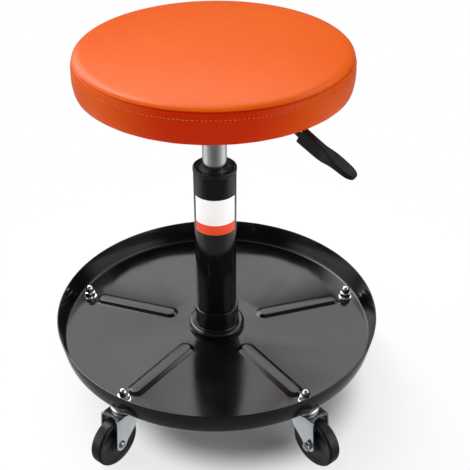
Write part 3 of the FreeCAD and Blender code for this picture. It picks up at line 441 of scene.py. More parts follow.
@dataclass(frozen=True)
class StudioFloor(Finish):
    """Seamless painted paper sweep that fades to white away from the object."""

    deep: str = "#e9e9ea"
    pale: str = "#efefef"
    grain_mm: float = 1.5
    fade_stops: Stops = ((0.13, 0.0), (0.19, 0.75), (0.3, 0.86), (0.42, 0.95), (0.58, 1.0))
    fade_shift: Triple = (-0.03, 0.014, 0.0)
    fade_scale: Triple = (1.08, 1.0, 1.0)
    fade_span: float = 0.6
    # to reflections the floor is a painted glow, times a painted shadow round the object
    painted_glow_stops: Stops = ((-0.7, 0.12), (-0.38, 0.36), (-0.08, 0.8), (0.2, 0.85), (0.5, 0.3))
    glow_start: float = -0.8
    glow_span: float = 1.6
    painted_shadow_stops: Stops = ((0.2, 0.8), (0.25, 0.38), (0.48, 1.0))

    @staticmethod
    def grey_ramp(
        tree: Tree, place: Socket, stops: Sequence[Point], start: float = 0.0, span: float = 1.0
    ) -> Socket:
        """Adds an eased ramp of greys.

        Args:
            tree: The material's node tree.
            place: The value that runs along the ramp, from 0 to 1.
            stops: The places with the grey there.
            start: The stops' place at the ramp's start.
            span: How much of the stops' scale the ramp covers.

        Returns:
            The grey.
        """
        grey = add_node(tree, "ValToRGB", {0: place})
        ramp = grey.node.color_ramp
        ramp.interpolation = "EASE"
        ramp.elements.remove(ramp.elements[1])
        for count, (position, value) in enumerate(stops):
            share = (position - start) / span
            stop = ramp.elements.new(share) if count else ramp.elements[0]
            stop.position = share
            stop.color = (value, value, value, 1.0)
        return grey

    def paint(self, tree: Tree, where: Socket) -> dict[str, object]:
        """Lit near the object and white further out to the camera; to reflections a painted glow, dim in
        front, with a ring of painted shadow round the object.
        """
        grain = add_node(tree, "TexNoise", sized(where, self.grain_mm, Detail=2.0))
        shift = {"Vector": where, "Location": self.fade_shift, "Scale": self.fade_scale}
        moved = add_node(tree, "Mapping", shift)
        shadow = add_node(tree, "VectorMath", {0: moved}, operation="LENGTH")
        faded = add_node(tree, "Math", {0: shadow, 1: self.fade_span}, operation="DIVIDE")
        far = self.grey_ramp(tree, faded, self.fade_stops, span=self.fade_span)
        camera_ray = add_node(tree, "LightPath", output="Is Camera Ray")
        share = add_node(tree, "Math", {0: far, 1: camera_ray}, operation="MULTIPLY")
        lit = tree.nodes["Principled BSDF"].outputs[0]
        white = add_node(tree, "Emission", {"Color": WHITE, "Strength": 1.0})
        to_camera = add_node(tree, "MixShader", {0: share, 1: lit, 2: white})
        # to glossy rays the floor is a painted glow that changes from front to back, times a ring of painted
        # shadow round the object
        depth = add_node(tree, "SeparateXYZ", {0: where}, "Y")
        limits = {"From Min": self.glow_start, "From Max": self.glow_start + self.glow_span}
        run = add_node(tree, "MapRange", {"Value": depth, **limits})
        glow = self.grey_ramp(tree, run, self.painted_glow_stops, self.glow_start, self.glow_span)
        reach = add_node(tree, "VectorMath", {0: where}, operation="LENGTH")
        painted_shadow = self.grey_ramp(tree, reach, self.painted_shadow_stops)
        painted_reflection = add_node(tree, "Math", {0: glow, 1: painted_shadow}, operation="MULTIPLY")
        reflected = add_node(tree, "Emission", {"Color": WHITE, "Strength": painted_reflection})
        glossy_ray = add_node(tree, "LightPath", output="Is Glossy Ray")
        both = add_node(tree, "MixShader", {0: glossy_ray, 1: to_camera, 2: reflected})
        # from below the sweep lets the object be seen
        below = add_node(tree, "NewGeometry", output="Backfacing")
        shown = add_node(tree, "MixShader", {0: below, 1: both, 2: add_node(tree, "BsdfTransparent")})
        put(tree, tree.nodes["Material Output"].inputs[0], shown)
        return {
            "tone": grain,
            "Roughness": 0.55,
        }


# powder gives the tray a soft, broad gloss, and stoved enamel gives the column narrow bright edges
TRAY_COAT = PowderCoat("tray_powder_coat", Slot.COATING)
COLUMN_ENAMEL = PowderCoat("column_enamel", Slot.COATING, "#101012", "#171719", 0.08, peel_depth_mm=0.006)
# hot blackening is thin and matt, and shows the steel's grain
BLACK_OXIDE = PowderCoat("black_oxide_steel", Slot.OXIDE, "#121214", "#1d1d20", 0.4, 0.1, 1.2, 0.02)
# chrome mirrors with a grey veil, zinc is bluer and cloudier, and ground steel is dull under its oil
CHROME = Plate("polished_chrome_plate", Slot.CHROME, "#c9cbd0", "#e6e7ea", 0.2, 0.03, streak_depth_mm=0.001)
NUT_CHROME = Plate("bright_nut_plate", Slot.CHROME, "#d8dadd", "#eeeff0", 0.08, 0.03, streak_depth_mm=0.0005)
ZINC = Plate("bright_zinc_plate", Slot.ZINC, "#c6cdd3", "#e9edf0", 0.2, 0.04, streak_depth_mm=0.0015)
BOLT_ZINC = Plate("dull_bolt_zinc", Slot.ZINC, "#8b9196", "#b4b9bd", 0.26)
OILED_STEEL = Plate("oiled_ground_steel", Slot.STEEL, "#7d7f82", "#a3a5a8", 0.32)
# the seat's sheet has a low sheen over its grain, and its thread is a little lighter
SEAT_VINYL = Vinyl("embossed_upholstery_vinyl", Slot.VINYL)
SEAT_THREAD = Thread("bonded_polyester_thread", Slot.VINYL)
# moulded parts take their tool's grain: nylon satin, ABS matt, polyurethane waxy, rubber dull
CAP_NYLON = Moulded("moulded_black_nylon", Slot.BUSH, "#131315", "#1c1c1f", 0.38, specular=0.4)
LEVER_ABS = Moulded("textured_black_abs", Slot.LEVER, "#0b0b0c", "#131314", 0.45, 0.8, specular=0.3)
WHEEL_PU = Moulded(
    "moulded_black_polyurethane", Slot.WHEEL, "#0a0a0b", "#111112", 0.36, 1.1, 0.02, specular=0.36
)
BEARING_NYLON = Moulded("natural_nylon", Slot.NYLON, "#cfcabb", "#e2dfd4", 0.4)
SOFT_RUBBER = Moulded("cured_black_rubber", Slot.SEAL, "#161616", "#202020", 0.6, ior=1.52)
# sanding leaves the board's long grain bare and pale, with no varnish over it
BOARD_PLY = Plywood("sanded_birch_plywood", Slot.PLYWOOD)
# matt paint on paper gives an even, almost white floor; reflections see a painted glow with a painted shadow
# instead
FLOOR_PAPER = StudioFloor("painted_paper_sweep", Slot.COATING)


def span_of(node: str) -> Triple:
    """Half a CAD node's width, its bottom and its top."""
    low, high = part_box(node)
    return (high.x - low.x) / 2, low.z, high.z


def edges_of(verts: Verts) -> Edges:
    """All the edges at some vertices."""
    return list({edge for vert in verts for edge in vert.link_edges})


def spin_path(
    bm: Mesh, path: Sequence[Point], steps: int, angle: float = FULL_TURN, closed: bool = False
) -> None:
    """Spins an outline about Z.

    Args:
        bm: The mesh that takes the faces.
        path: The (radius, height) corners in metres.
        steps: How many flats the turn has.
        angle: The turn in radians, from +X.
        closed: Whether the last corner joins the first.
    """
    verts = [bm.verts.new((radius, 0.0, height)) for radius, height in path]
    edges = [bm.edges.new(pair) for pair in zip(verts, verts[1:])]
    if closed:
        edges.append(bm.edges.new((verts[-1], verts[0])))
    turn = {"cent": (0, 0, 0), "axis": (0, 0, 1), "dvec": (0, 0, 0), "angle": angle, "steps": steps}
    bmesh.ops.spin(bm, geom=verts + edges, use_merge=angle == FULL_TURN, **turn)


def turn_profile(profile: Sequence[Point], steps: int = 128, closed: bool = True) -> Mesh:
    """Turns an outline fully about Z.

    Args:
        profile: The (radius, height) corners in metres.
        steps: How many flats the full turn has.
        closed: Whether the last corner joins the first.

    Returns:
        The turned mesh, its faces outwards.
    """
    bm = bmesh.new()
    spin_path(bm, profile, steps, closed=closed)
    bmesh.ops.remove_doubles(bm, verts=bm.verts, dist=MERGE)
    bmesh.ops.recalc_face_normals(bm, faces=bm.faces)
    return bm


def arc(centre: Point, radius: float, start: float, end: float, pieces: int) -> list[Point]:
    """Points along an arc of a profile.

    Args:
        centre: Its centre as (radius, height).
        radius: Its radius.
        start: Its first angle in degrees, from outwards towards up.
        end: Its last angle in degrees.
        pieces: How many runs it has.

    Returns:
        The points, both ends included.
    """
    turns = [math.radians(start + (end - start) * step / pieces) for step in range(pieces + 1)]
    return [(centre[0] + radius * math.cos(turn), centre[1] + radius * math.sin(turn)) for turn in turns]


def on_circle(turn: float, reach: float, height: float, size: Triple, twist: float = 0.0) -> Matrix:
    """Sets a unit shape out on a circle about Z.

    Args:
        turn: Its direction in radians.
        reach: The circle's radius.
        height: The circle's height.
        size: How the shape is stretched: outwards, along the circle and up.
        twist: How far it is turned in its place, in radians.

    Returns:
        The shape's matrix.
    """
    spot = Matrix.Rotation(turn, 4, "Z") @ Matrix.Translation((reach, 0.0, height))
    return spot @ Matrix.Rotation(twist, 4, "Z") @ Matrix.Diagonal((*size, 1.0))


def bevel(bm: Mesh, edges: Edges, width: float, segments: int, clamp: bool = False) -> Verts:
    """Bevels edges.

    Args:
        bm: The mesh.
        edges: The edges.
        width: The bevel's width in metres.
        segments: Its runs.
        clamp: Whether it stops where bevels would meet.

    Returns:
        The vertices that it made.
    """
    form = {"offset_type": "OFFSET", "affect": "EDGES", "profile": 0.5, "material": -1}
    made = bmesh.ops.bevel(bm, geom=edges, offset=width, segments=segments, clamp_overlap=clamp, **form)
    return made["verts"]


def soften(bm: Mesh, width: float, segments: int = 2, least: float = 25.0) -> None:
    """Bevels every edge that is sharper than an angle.

    Args:
        bm: The mesh.
        width: The bevel's width in metres.
        segments: Its runs.
        least: The least angle in degrees between the edge's faces.
    """
    limit = math.radians(least)
    sharp = [edge for edge in bm.edges if len(edge.link_faces) == 2 and edge.calc_face_angle(0.0) > limit]
    bevel(bm, sharp, width, segments, clamp=True)


def publish(
    bm: Mesh, name: str, body: str, finish: Finish, stands_for: Sequence[str] = (), smooth: float = 35.0
) -> bpy.types.Object:
    """Makes a piece of a mesh, dresses it and lets it ride on its body.

    Args:
        bm: The mesh in place, which is used up.
        name: The piece's name.
        body: The CAD body that carries it.
        finish: Its finish.
        stands_for: CAD nodes that it replaces.
        smooth: Edges sharper than this many degrees stay sharp.

    Returns:
        The piece.
    """
    mesh = bpy.data.meshes.new(name)
    bm.to_mesh(mesh)
    bm.free()
    mesh.polygons.foreach_set("use_smooth", [True] * len(mesh.polygons))
    mesh.set_sharp_from_angle(angle=math.radians(smooth))
    mesh.materials.append(finish.material())
    piece = bpy.data.objects.new(name, mesh)
    bpy.context.scene.collection.objects.link(piece)
    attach(piece, body)
    if stands_for:
        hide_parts(*stands_for)
    LOG.info("%s: %d faces on %s", name, len(mesh.polygons), body)
    return piece


def round_off(piece: bpy.types.Object) -> None:
    """Subdivides a piece once, so that its bends are round."""
    rounder = piece.modifiers.new("rounder", "SUBSURF")
    rounder.levels = 1
    rounder.render_levels = 1


def refined(node: str, name: str, body: str, finish: Finish, width_mm: float, segments: int = 2) -> None:
    """Replaces a CAD node by a merged copy of its mesh, with its edges broken.

    Args:
        node: The CAD node.
        name: The piece's name.
        body: The CAD body that carries it.
        finish: Its finish.
        width_mm: The width of the broken edges in millimetres.
        segments: Their runs.
    """
    bm = bmesh.new()
    bm.from_mesh(bpy.data.objects[node].data)
    bmesh.ops.remove_doubles(bm, verts=bm.verts, dist=MERGE)
    flat = {"angle_limit": math.radians(0.4), "use_dissolve_boundaries": False, "delimit": set()}
    bmesh.ops.dissolve_limit(bm, verts=bm.verts, edges=bm.edges, **flat)
    soften(bm, width_mm * MM, segments, 28.0)
    bmesh.ops.triangulate(bm, faces=[face for face in bm.faces if len(face.verts) > 4])
    publish(bm, name, body, finish, (node,), 32.0)


def dress_node(node: str, finish: Finish) -> None:
    """Gives a CAD node its finish."""
    piece = bpy.data.objects[node]
    piece.data.materials.clear()
    piece.data.materials.append(finish.material())
    LOG.info("%s: dressed in %s", node, finish.name)


@dataclass
class Cushion:
    """The round padded seat: its swollen cover, the sewn seam, the stitches and the stapled hem."""

    steps: int = 160
    band_rows: int = 8
    top_rows: int = 26
    floor_rows: int = 14
    shrink: float = 1.2 * MM
    crown_drop: float = 4.0 * MM
    seam_below_top: float = 15.0 * MM
    shoulder_inset: float = 9.0 * MM
    shoulder_rise: float = 5.5 * MM
    shoulder_swell: float = 1.2 * MM
    seam_proud: float = 1.4 * MM
    groove_width: float = 1.5 * MM
    groove_depth: float = 1.3 * MM
    groove_spread: float = 0.3
    welt_proud: float = 0.35 * MM
    welt_place: float = 0.75
    pulled_line: Point = (0.7, 0.3)
    stitch_drop: float = 6.5 * MM
    stitch_pitch: float = 4.4 * MM
    stitch_length: float = 3.1 * MM
    stitch_thickness: float = 0.42 * MM
    stitch_sunk: float = 0.15 * MM
    stitch_stray: float = 0.12 * MM
    hem_width: float = 20.0 * MM
    hem_roll: float = 1.7 * MM
    hem_folds: int = 34
    hem_fold_depth: float = 0.35 * MM
    hem_wander: float = 0.8
    hem_waves: int = 5
    staples: int = 40
    staple: Triple = (1.1 * MM, 10.5 * MM, 0.7 * MM)
    staple_place: float = 0.72
    staple_drop: float = 0.25 * MM
    staple_stray: float = 0.35
    staple_twist: float = 0.25
    band_bulge: float = 2.2 * MM
    seam_tuck: float = 1.2 * MM
    pressure: float = 4.0
    stretch_stiffness: float = 18.0
    bend_stiffness: float = 1.5
    swell_cap: float = 4.0 * MM
    evenness: float = 0.8
    frames: int = 20
    near: float = 0.5 * MM
    cut_gap: float = 0.05 * MM
    outer_share: float = 0.8
    under_gap: float = 0.3 * MM
    fold_share: float = 0.9
    staple_round: float = 0.2 * MM
    radius: float = field(init=False)
    bottom: float = field(init=False)
    top: float = field(init=False)
    seam_height: float = field(init=False)

    def __post_init__(self) -> None:
        """Takes the seat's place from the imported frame."""
        self.radius, self.bottom, self.top = span_of("seat_cover")
        self.seam_height = self.top - self.seam_below_top

    def build(self) -> None:
        """Makes the cover, its stitches and its staples."""
        cover = self.swell(self.start_form())
        self.sew(cover)
        line = self.seam_height - self.stitch_drop
        reach = max(vert.co.xy.length for vert in cover.verts if abs(vert.co.z - line) < self.groove_width)
        self.open_underside(cover)
        piece = publish(cover, "seat_cushion_cover", "seat", SEAT_VINYL, ("seat_cover", "seat_foam"), 60.0)
        round_off(piece)
        self.add_stitches(reach - self.stitch_sunk, line)
        self.add_staples()

    def start_form(self) -> Mesh:
        """The closed form before it swells: a base that rolls down at its edge, a bulged band, a crown."""
        edge = self.radius - self.seam_proud - self.shrink
        seam = self.radius - self.seam_tuck - self.shrink
        floor = self.bottom - self.hem_roll
        profile = [(0.0, self.bottom)]
        for row in range(1, self.floor_rows):
            share = row / self.floor_rows
            profile.append((edge * share, self.bottom - self.hem_roll * share ** 8))
        for row in range(self.band_rows + 1):
            share = row / self.band_rows
            bulge = self.band_bulge * 4.0 * share * (1.0 - share)
            profile.append((edge + (seam - edge) * share + bulge, floor + (self.seam_height - floor) * share))
        shoulder = (seam - self.shoulder_inset, self.seam_height + self.shoulder_rise)
        middle = (seam + shoulder[0]) / 2, (self.seam_height + shoulder[1]) / 2
        profile.append((middle[0] + self.shoulder_swell, middle[1] + self.shoulder_swell))
        crown = self.top - self.crown_drop
        for row in range(self.top_rows):
            share = row / self.top_rows
            rise = (crown - shoulder[1]) * (1 - (1 - share) ** 2)
            profile.append((shoulder[0] * (1 - share), shoulder[1] + rise))
        return turn_profile(profile + [(0.0, crown)], self.steps, closed=False)

    def swell(self, form: Mesh) -> Mesh:
        """Inflates the form with a cloth simulation, its base, its seam and its shoulder held.

        Args:
            form: The closed form.

        Returns:
            The form, each point moved by no more than the cap.
        """
        mesh = bpy.data.meshes.new("swelling")
        form.to_mesh(mesh)
        pad = bpy.data.objects.new("swelling", mesh)
        scene = bpy.context.scene
        scene.collection.objects.link(pad)
        held = pad.vertex_groups.new(name="held")
        shoulder = self.radius - self.seam_tuck - self.shrink - self.shoulder_inset - self.near
        for vert in mesh.vertices:
            at_seam = abs(vert.co.z - self.seam_height) < self.near
            over_edge = vert.co.z > self.seam_height and vert.co.xy.length > shoulder
            if vert.co.z < self.bottom + self.near or at_seam or over_edge:
                held.add([vert.index], 1.0, "REPLACE")
        settings = pad.modifiers.new("cloth", "CLOTH").settings
        settings.vertex_group_mass = held.name
        settings.use_pressure = True
        settings.uniform_pressure_force = self.pressure
        settings.tension_stiffness = settings.compression_stiffness = self.stretch_stiffness
        settings.bending_stiffness = self.bend_stiffness
        settings.effector_weights.gravity = 0.0
        for frame in range(1, self.frames + 1):
            scene.frame_set(frame)
        swollen = pad.evaluated_get(bpy.context.evaluated_depsgraph_get())
        form.verts.ensure_lookup_table()
        rings: dict[tuple[int, int], list[tuple[bmesh.types.BMVert, Vector]]] = {}
        for vert, there in zip(form.verts, [vert.co.copy() for vert in swollen.data.vertices]):
            step = there - vert.co
            if step.length > self.swell_cap:
                step = step.normalized() * self.swell_cap
            key = round(vert.co.xy.length / MERGE), round(vert.co.z / MERGE)
            rings.setdefault(key, []).append((vert, step))
        # the foam keeps the cover even, so most of each ring's unevenness is taken out
        for ring in rings.values():
            outwards = [vert.co.xy.normalized() for vert, _ in ring]
            out = sum(step.xy.dot(way) for (_, step), way in zip(ring, outwards)) / len(ring)
            lift = sum(step.z for _, step in ring) / len(ring)
            for (vert, step), way in zip(ring, outwards):
                vert.co += step.lerp(Vector((way.x * out, way.y * out, lift)), self.evenness)
        LOG.info("the cover is swollen over %d rings", len(rings))
        bpy.data.objects.remove(pad)
        bpy.data.meshes.remove(mesh)
        scene.frame_set(1)
        return form

    def sew(self, cover: Mesh) -> None:
        """Presses the seam's groove with a welt beside it, and the line that the stitches pull in."""
        narrow, shallow = self.pulled_line
        for height, width, depth in (
            (self.seam_height, self.groove_width, self.groove_depth),
            (self.seam_height - self.stitch_drop, self.groove_width * narrow, self.groove_depth * shallow),
        ):
            cut = {"geom": list(cover.verts) + list(cover.edges) + list(cover.faces), "dist": MERGE}
            bmesh.ops.bisect_plane(cover, plane_co=(0, 0, height), plane_no=(0, 0, 1), **cut)
            outer = {
                vert
                for vert in cover.verts
                if abs(vert.co.z - height) < self.cut_gap
                and vert.co.xy.length > self.radius * self.outer_share
            }
            ring = [edge for edge in cover.edges if outer.issuperset(edge.verts)]
            for vert in set(bevel(cover, ring, width, 6)):
                away = (vert.co.z - height) / width
                pulled = depth * math.exp(-((away / self.groove_spread) ** 2))
                welt = self.welt_proud * math.exp(-(((away - self.welt_place) / self.groove_spread) ** 2))
                vert.co += Vector((vert.co.x, vert.co.y, 0.0)).normalized() * (welt - pulled)

    def open_underside(self, cover: Mesh) -> None:
        """Cuts the underside away inside the hem and gathers the hem in small folds."""
        inner = self.radius - self.seam_proud - self.hem_width
        under = self.bottom + self.under_gap
        middles = {face: face.calc_center_median() for face in cover.faces}
        below = [face for face, middle in middles.items() if middle.z < under and middle.xy.length < inner]
        bmesh.ops.delete(cover, geom=below, context="FACES")
        bmesh.ops.recalc_face_normals(cover, faces=cover.faces)
        for vert in cover.verts:
            reach = vert.co.xy.length
            if vert.co.z < under and reach > inner * self.fold_share:
                turn = math.atan2(vert.co.y, vert.co.x)
                wander = self.hem_wander * math.sin(turn * self.hem_waves)
                fold = max(0.0, math.sin(turn * self.hem_folds + wander)) ** 3
                vert.co.z -= self.hem_fold_depth * fold * max(0.0, 1 - (self.radius - reach) / self.hem_width)

    def add_stitches(self, reach: float, height: float) -> None:
        """One row of thread below the seam, a long bead for each stitch."""
        count = int(FULL_TURN * reach / self.stitch_pitch)
        size = self.stitch_thickness, self.stitch_length / 2, self.stitch_thickness
        bm = bmesh.new()
        for step in range(count):
            stray = self.stitch_stray * math.sin(step * 1.7)
            place = on_circle(FULL_TURN * step / count, reach, height + stray, size)
            bmesh.ops.create_uvsphere(bm, u_segments=6, v_segments=5, radius=1.0, matrix=place)
        publish(bm, "seat_stitches", "seat", SEAT_THREAD, (), 80.0)

    def add_staples(self) -> None:
        """Steel staples that hold the hem to the board."""
        reach = self.radius - self.hem_width * self.staple_place
        bm = bmesh.new()
        for step in range(self.staples):
            turn = FULL_TURN * (step + self.staple_stray * math.sin(step * 2.1)) / self.staples
            twist = self.staple_twist * math.sin(step * 3.3)
            place = on_circle(turn, reach, self.bottom - self.staple_drop, self.staple, twist)
            bmesh.ops.create_cube(bm, size=1.0, matrix=place)
        soften(bm, self.staple_round)
        publish(bm, "hem_staples", "seat", ZINC)


@dataclass
class Tray:
    """The pressed pan with its ribs, the socket's sleeve and collar, and the stem fastenings."""

    studs: list[Vector]
    steps: int = 240
    sheet: float = 1.5 * MM
    flare: float = 4.5 * MM
    corner: float = 3.4 * MM
    rim_round: float = 0.45 * MM
    rim_find: float = 0.8 * MM
    rib_start: float = 54.0 * MM
    rib_end: float = 170.0 * MM
    rib_half: float = 11.6 * MM
    rib_height: float = 2.9 * MM
    rib_run: float = 5.7 * MM
    rib_shares: Stops = ((0.1, 0.04), (0.2, 0.14), (0.8, 0.86), (0.9, 0.96), (1.0, 1.0))
    stem_hole: float = 4.05 * MM
    sleeve_gap: float = 0.1 * MM
    fit_gap: float = 0.05 * MM
    socket_lip: float = 1.0 * MM
    collar_swell_share: float = 0.52
    collar_foot: float = 0.4 * MM
    collar_valley: float = 2.2 * MM
    collar_climb: float = 1.4 * MM
    top: float = field(init=False)
    floor: float = field(init=False)
    rim: float = field(init=False)

    def __post_init__(self) -> None:
        """Takes the tray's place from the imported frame."""
        self.rim, low, self.top = span_of("tray")
        self.floor = low + self.sheet

    def build(self) -> None:
        """Makes the pan, the socket and the fastenings."""
        self.add_pan()
        self.add_sleeve()
        self.add_collar()
        refined("hub_plate", "hub_doubler", "base", TRAY_COAT, 0.4)
        refined("stud_washers", "stem_washers", "base", NUT_CHROME, 0.3)
        refined("dome_nuts", "acorn_nuts", "base", NUT_CHROME, 0.35)

    def ring(self, bm: Mesh, spot: Vector, radius: float, steps: int) -> Edges:
        """A level circle of edges."""
        place = Matrix.Translation(spot)
        return edges_of(bmesh.ops.create_circle(bm, radius=radius, segments=steps, matrix=place)["verts"])

    def rib_ring(self, bm: Mesh, azimuth: float, inset: float, height: float) -> Edges:
        """A long round-ended ring of edges that points outwards.

        Args:
            bm: The mesh.
            azimuth: The rib's direction in radians.
            inset: How far the ring lies inside the rib's foot.
            height: Its height.

        Returns:
            Its edges.
        """
        made = bmesh.ops.create_circle(bm, radius=self.rib_half - inset, segments=44)["verts"]
        for vert in made:
            vert.co.x += self.rib_end - self.rib_half if vert.co.x > 0 else self.rib_start + self.rib_half
            vert.co.z = height
        bmesh.ops.rotate(bm, verts=made, cent=(0, 0, 0), matrix=Matrix.Rotation(azimuth, 3, "Z"))
        return edges_of(made)

    def add_pan(self) -> None:
        """Floor with five pressed ribs, a rounded corner, the drafted wall and the rim."""
        bm = bmesh.new()
        flat = self.rim - self.flare - self.sheet - self.corner
        middle = Vector((0, 0, self.floor))
        loops = self.ring(bm, middle, span_of("column_socket")[0] + self.sleeve_gap, 96)
        loops += self.ring(bm, middle, flat, self.steps)
        ribs = []
        for stud in self.studs:
            azimuth = math.atan2(stud.y, stud.x)
            ribs.append((azimuth, self.rib_ring(bm, azimuth, 0.0, self.floor)))
            loops += ribs[-1][1] + self.ring(bm, stud + middle, self.stem_hole, 24)
        bmesh.ops.triangle_fill(bm, use_beauty=True, use_dissolve=False, edges=loops)
        for azimuth, last in ribs:
            for run, rise in self.rib_shares:
                ring = self.rib_ring(bm, azimuth, self.rib_run * run, self.floor + self.rib_height * rise)
                bmesh.ops.bridge_loops(bm, edges=last + ring)
                last = ring
            bmesh.ops.contextual_create(bm, geom=last)
        wall = arc((flat, self.floor + self.corner), self.corner, -90, -10, 8)
        spin_path(bm, wall + [(self.rim - self.sheet, self.top)], self.steps)
        bmesh.ops.remove_doubles(bm, verts=bm.verts, dist=0.01 * MM)
        bmesh.ops.recalc_face_normals(bm, faces=bm.faces)
        if sum(face.normal.z * face.calc_area() for face in bm.faces) < 0:
            bmesh.ops.reverse_faces(bm, faces=bm.faces)
        bmesh.ops.solidify(bm, geom=list(bm.faces), thickness=self.sheet)
        edge_on = self.top - self.rim_find
        sharp = [edge for edge in bm.edges if edge.is_manifold and edge.calc_face_angle(0.0) > 1.0]
        rims = [edge for edge in sharp if min(vert.co.z for vert in edge.verts) > edge_on]
        bevel(bm, rims, self.rim_round, 3)
        publish(bm, "tray_pan", "base", TRAY_COAT, ("tray",), 42.0)

    def add_sleeve(self) -> None:
        """The socket's sleeve with a rolled top edge."""
        outer, low, high = span_of("column_socket")
        inner = span_of("column_tube")[0] + self.fit_gap
        lip = self.socket_lip
        profile = [(inner, low), (outer, low), (outer, high - lip)]
        profile += arc((outer - lip, high - lip), lip, 15, 90, 4) + [(inner, high)]
        publish(turn_profile(profile), "socket_sleeve", "base", COLUMN_ENAMEL, ("column_socket",))

    def add_collar(self) -> None:
        """The collar that spreads on the tray's floor and climbs to the sleeve."""
        reach, low, high = span_of("socket_collar")
        inner = span_of("column_socket")[0] + self.fit_gap
        swell = (high - low) * self.collar_swell_share
        climb = high + self.collar_climb
        profile = [(inner, low), (reach - self.collar_foot, low)]
        profile += arc((reach - swell, high - swell), swell, -25, 100, 9)
        profile += arc((inner + self.collar_valley, climb), self.collar_valley, 235, 180, 5)
        profile.append((inner, climb))
        publish(turn_profile(profile), "socket_flange", "base", COLUMN_ENAMEL, ("socket_collar",))


@dataclass
class Column:
    """The gas lift: outer tube, cap, label, pressure tube and what they hold."""

    tube_wall: float = 2.8 * MM
    foot_taper: float = 1.3 * MM
    mouth_round: float = 0.4 * MM
    cap_drop: float = 2.0 * MM
    cap_bore: float = 14.05 * MM
    cap_sleeve: float = 22.1 * MM
    cap_foot: Point = (0.3 * MM, 0.5 * MM)
    cap_round: float = 1.5 * MM
    cap_brim: float = 1.6 * MM
    cap_groove: float = 2.6 * MM
    cap_rim: Stops = ((2.2, 1.4), (2.6, 2.6))
    cap_boss: Stops = ((3.4, 2.6), (2.9, 1.2), (2.3, 0.6), (0.9, 0.7), (0.0, 1.6))
    cap_teeth: int = 28
    tooth: Triple = (3.6 * MM, 1.4 * MM, 1.8 * MM)
    tooth_shift: Point = (0.5 * MM, 0.4 * MM)
    label_low: float = 230.3 * MM
    label_high: float = 277.0 * MM
    label_band: float = 13.0 * MM
    label_half_angle: float = math.radians(63.0)
    label_azimuth: float = math.radians(-88.5)
    label_sheet: float = 0.1 * MM
    label_gap: float = 0.12 * MM
    chrome_wall: float = 1.5 * MM
    chrome_foot: float = 0.5 * MM
    cone_length: float = 28.0 * MM
    cone_narrowing: float = 0.8 * MM
    cone_wall: float = 2.5 * MM
    cone_bore: Point = (26.0 * MM, 26.5 * MM)
    steels: tuple[str, ...] = (
        "foot_disc", "lower_race", "upper_race", "rod_clip", "piston", "valve_body", "release_pin"
    )

    def build(self) -> None:
        """Makes the visible pieces and dresses the inner ones."""
        self.add_tube()
        self.add_cap()
        self.add_label()
        self.add_pressure_tube()
        for nodes, finish in (
            (self.steels, OILED_STEEL),
            (("ball_cage", "rod_guide"), BEARING_NYLON),
            (("bump_stop", "rod_seal"), SOFT_RUBBER),
            (("piston_rod",), CHROME),
        ):
            for node in nodes:
                dress_node(node, finish)

    def add_tube(self) -> None:
        """Outer tube with a tapered foot and a turned-in mouth."""
        outer, low, high = span_of("column_tube")
        bore = outer - self.tube_wall
        socket_top = span_of("column_socket")[2]
        profile = [(bore, low), (outer - self.foot_taper, low), (outer, socket_top), (outer, high)]
        bm = turn_profile(profile + [(bore, high)])
        soften(bm, self.mouth_round, 3)
        publish(bm, "column_outer_tube", "base", COLUMN_ENAMEL, ("column_tube",))

    def add_cap(self) -> None:
        """Moulded cap over the tube's mouth: an outer rim, a toothed recess and a boss round the chrome."""
        outer, low, high = span_of("guide_bush")
        top = high - self.cap_drop
        mouth = span_of("column_tube")[2]
        bore = self.cap_bore
        ledge = top - self.cap_groove
        foot, rise = self.cap_foot
        profile = [(bore, low), (self.cap_sleeve, low), (self.cap_sleeve, mouth), (outer - foot, mouth)]
        profile += [(outer, mouth + rise), (outer, top - self.cap_brim)]
        profile += arc((outer - self.cap_round, top - self.cap_round), self.cap_round, 0, 100, 5)
        profile += [(outer - inwards * MM, top - drop * MM) for inwards, drop in self.cap_rim]
        profile += [(bore + outwards * MM, top - drop * MM) for outwards, drop in self.cap_boss]
        bm = turn_profile(profile)
        out, lift = self.tooth_shift
        reach = (outer + bore) / 2 + out
        for step in range(self.cap_teeth):
            place = on_circle(FULL_TURN * step / self.cap_teeth, reach, ledge + lift, self.tooth)
            bmesh.ops.create_cube(bm, size=1.0, matrix=place)
        publish(bm, "guide_cap", "base", CAP_NYLON, ("guide_bush",))

    def add_label(self) -> None:
        """Blank two-tone sticker on the tube's front."""
        band_top = self.label_low + self.label_band
        finish = PrintedLabel("laminated_paper_label", Slot.COATING, band_top=band_top)
        reach = span_of("column_tube")[0] + self.label_gap
        bm = bmesh.new()
        spin_path(bm, [(reach, self.label_low), (reach, self.label_high)], 48, 2 * self.label_half_angle)
        turn = Matrix.Rotation(self.label_azimuth - self.label_half_angle, 3, "Z")
        bmesh.ops.rotate(bm, verts=bm.verts, cent=(0, 0, 0), matrix=turn)
        bmesh.ops.recalc_face_normals(bm, faces=bm.faces)
        if sum(face.normal.dot(face.calc_center_median()) for face in bm.faces) < 0:
            bmesh.ops.reverse_faces(bm, faces=bm.faces)
        bmesh.ops.solidify(bm, geom=list(bm.faces), thickness=-self.label_sheet)
        publish(bm, "column_label", "base", finish, (), 30.0)

    def add_pressure_tube(self) -> None:
        """Chromed tube that slides in the cap, drawn in to a cone at its top."""
        outer, low, high = span_of("pressure_tube")
        bore = outer - self.chrome_wall
        foot = self.chrome_foot
        tip = outer - self.cone_wall
        profile = [(bore, low), (outer - foot, low), (outer, low + foot)]
        profile += [(outer, high - self.cone_length), (outer - self.cone_narrowing, high), (tip, high)]
        profile += [(tip, high - self.cone_bore[0]), (bore, high - self.cone_bore[1])]
        publish(turn_profile(profile), "chromed_pressure_tube", "seat", CHROME, ("pressure_tube",))


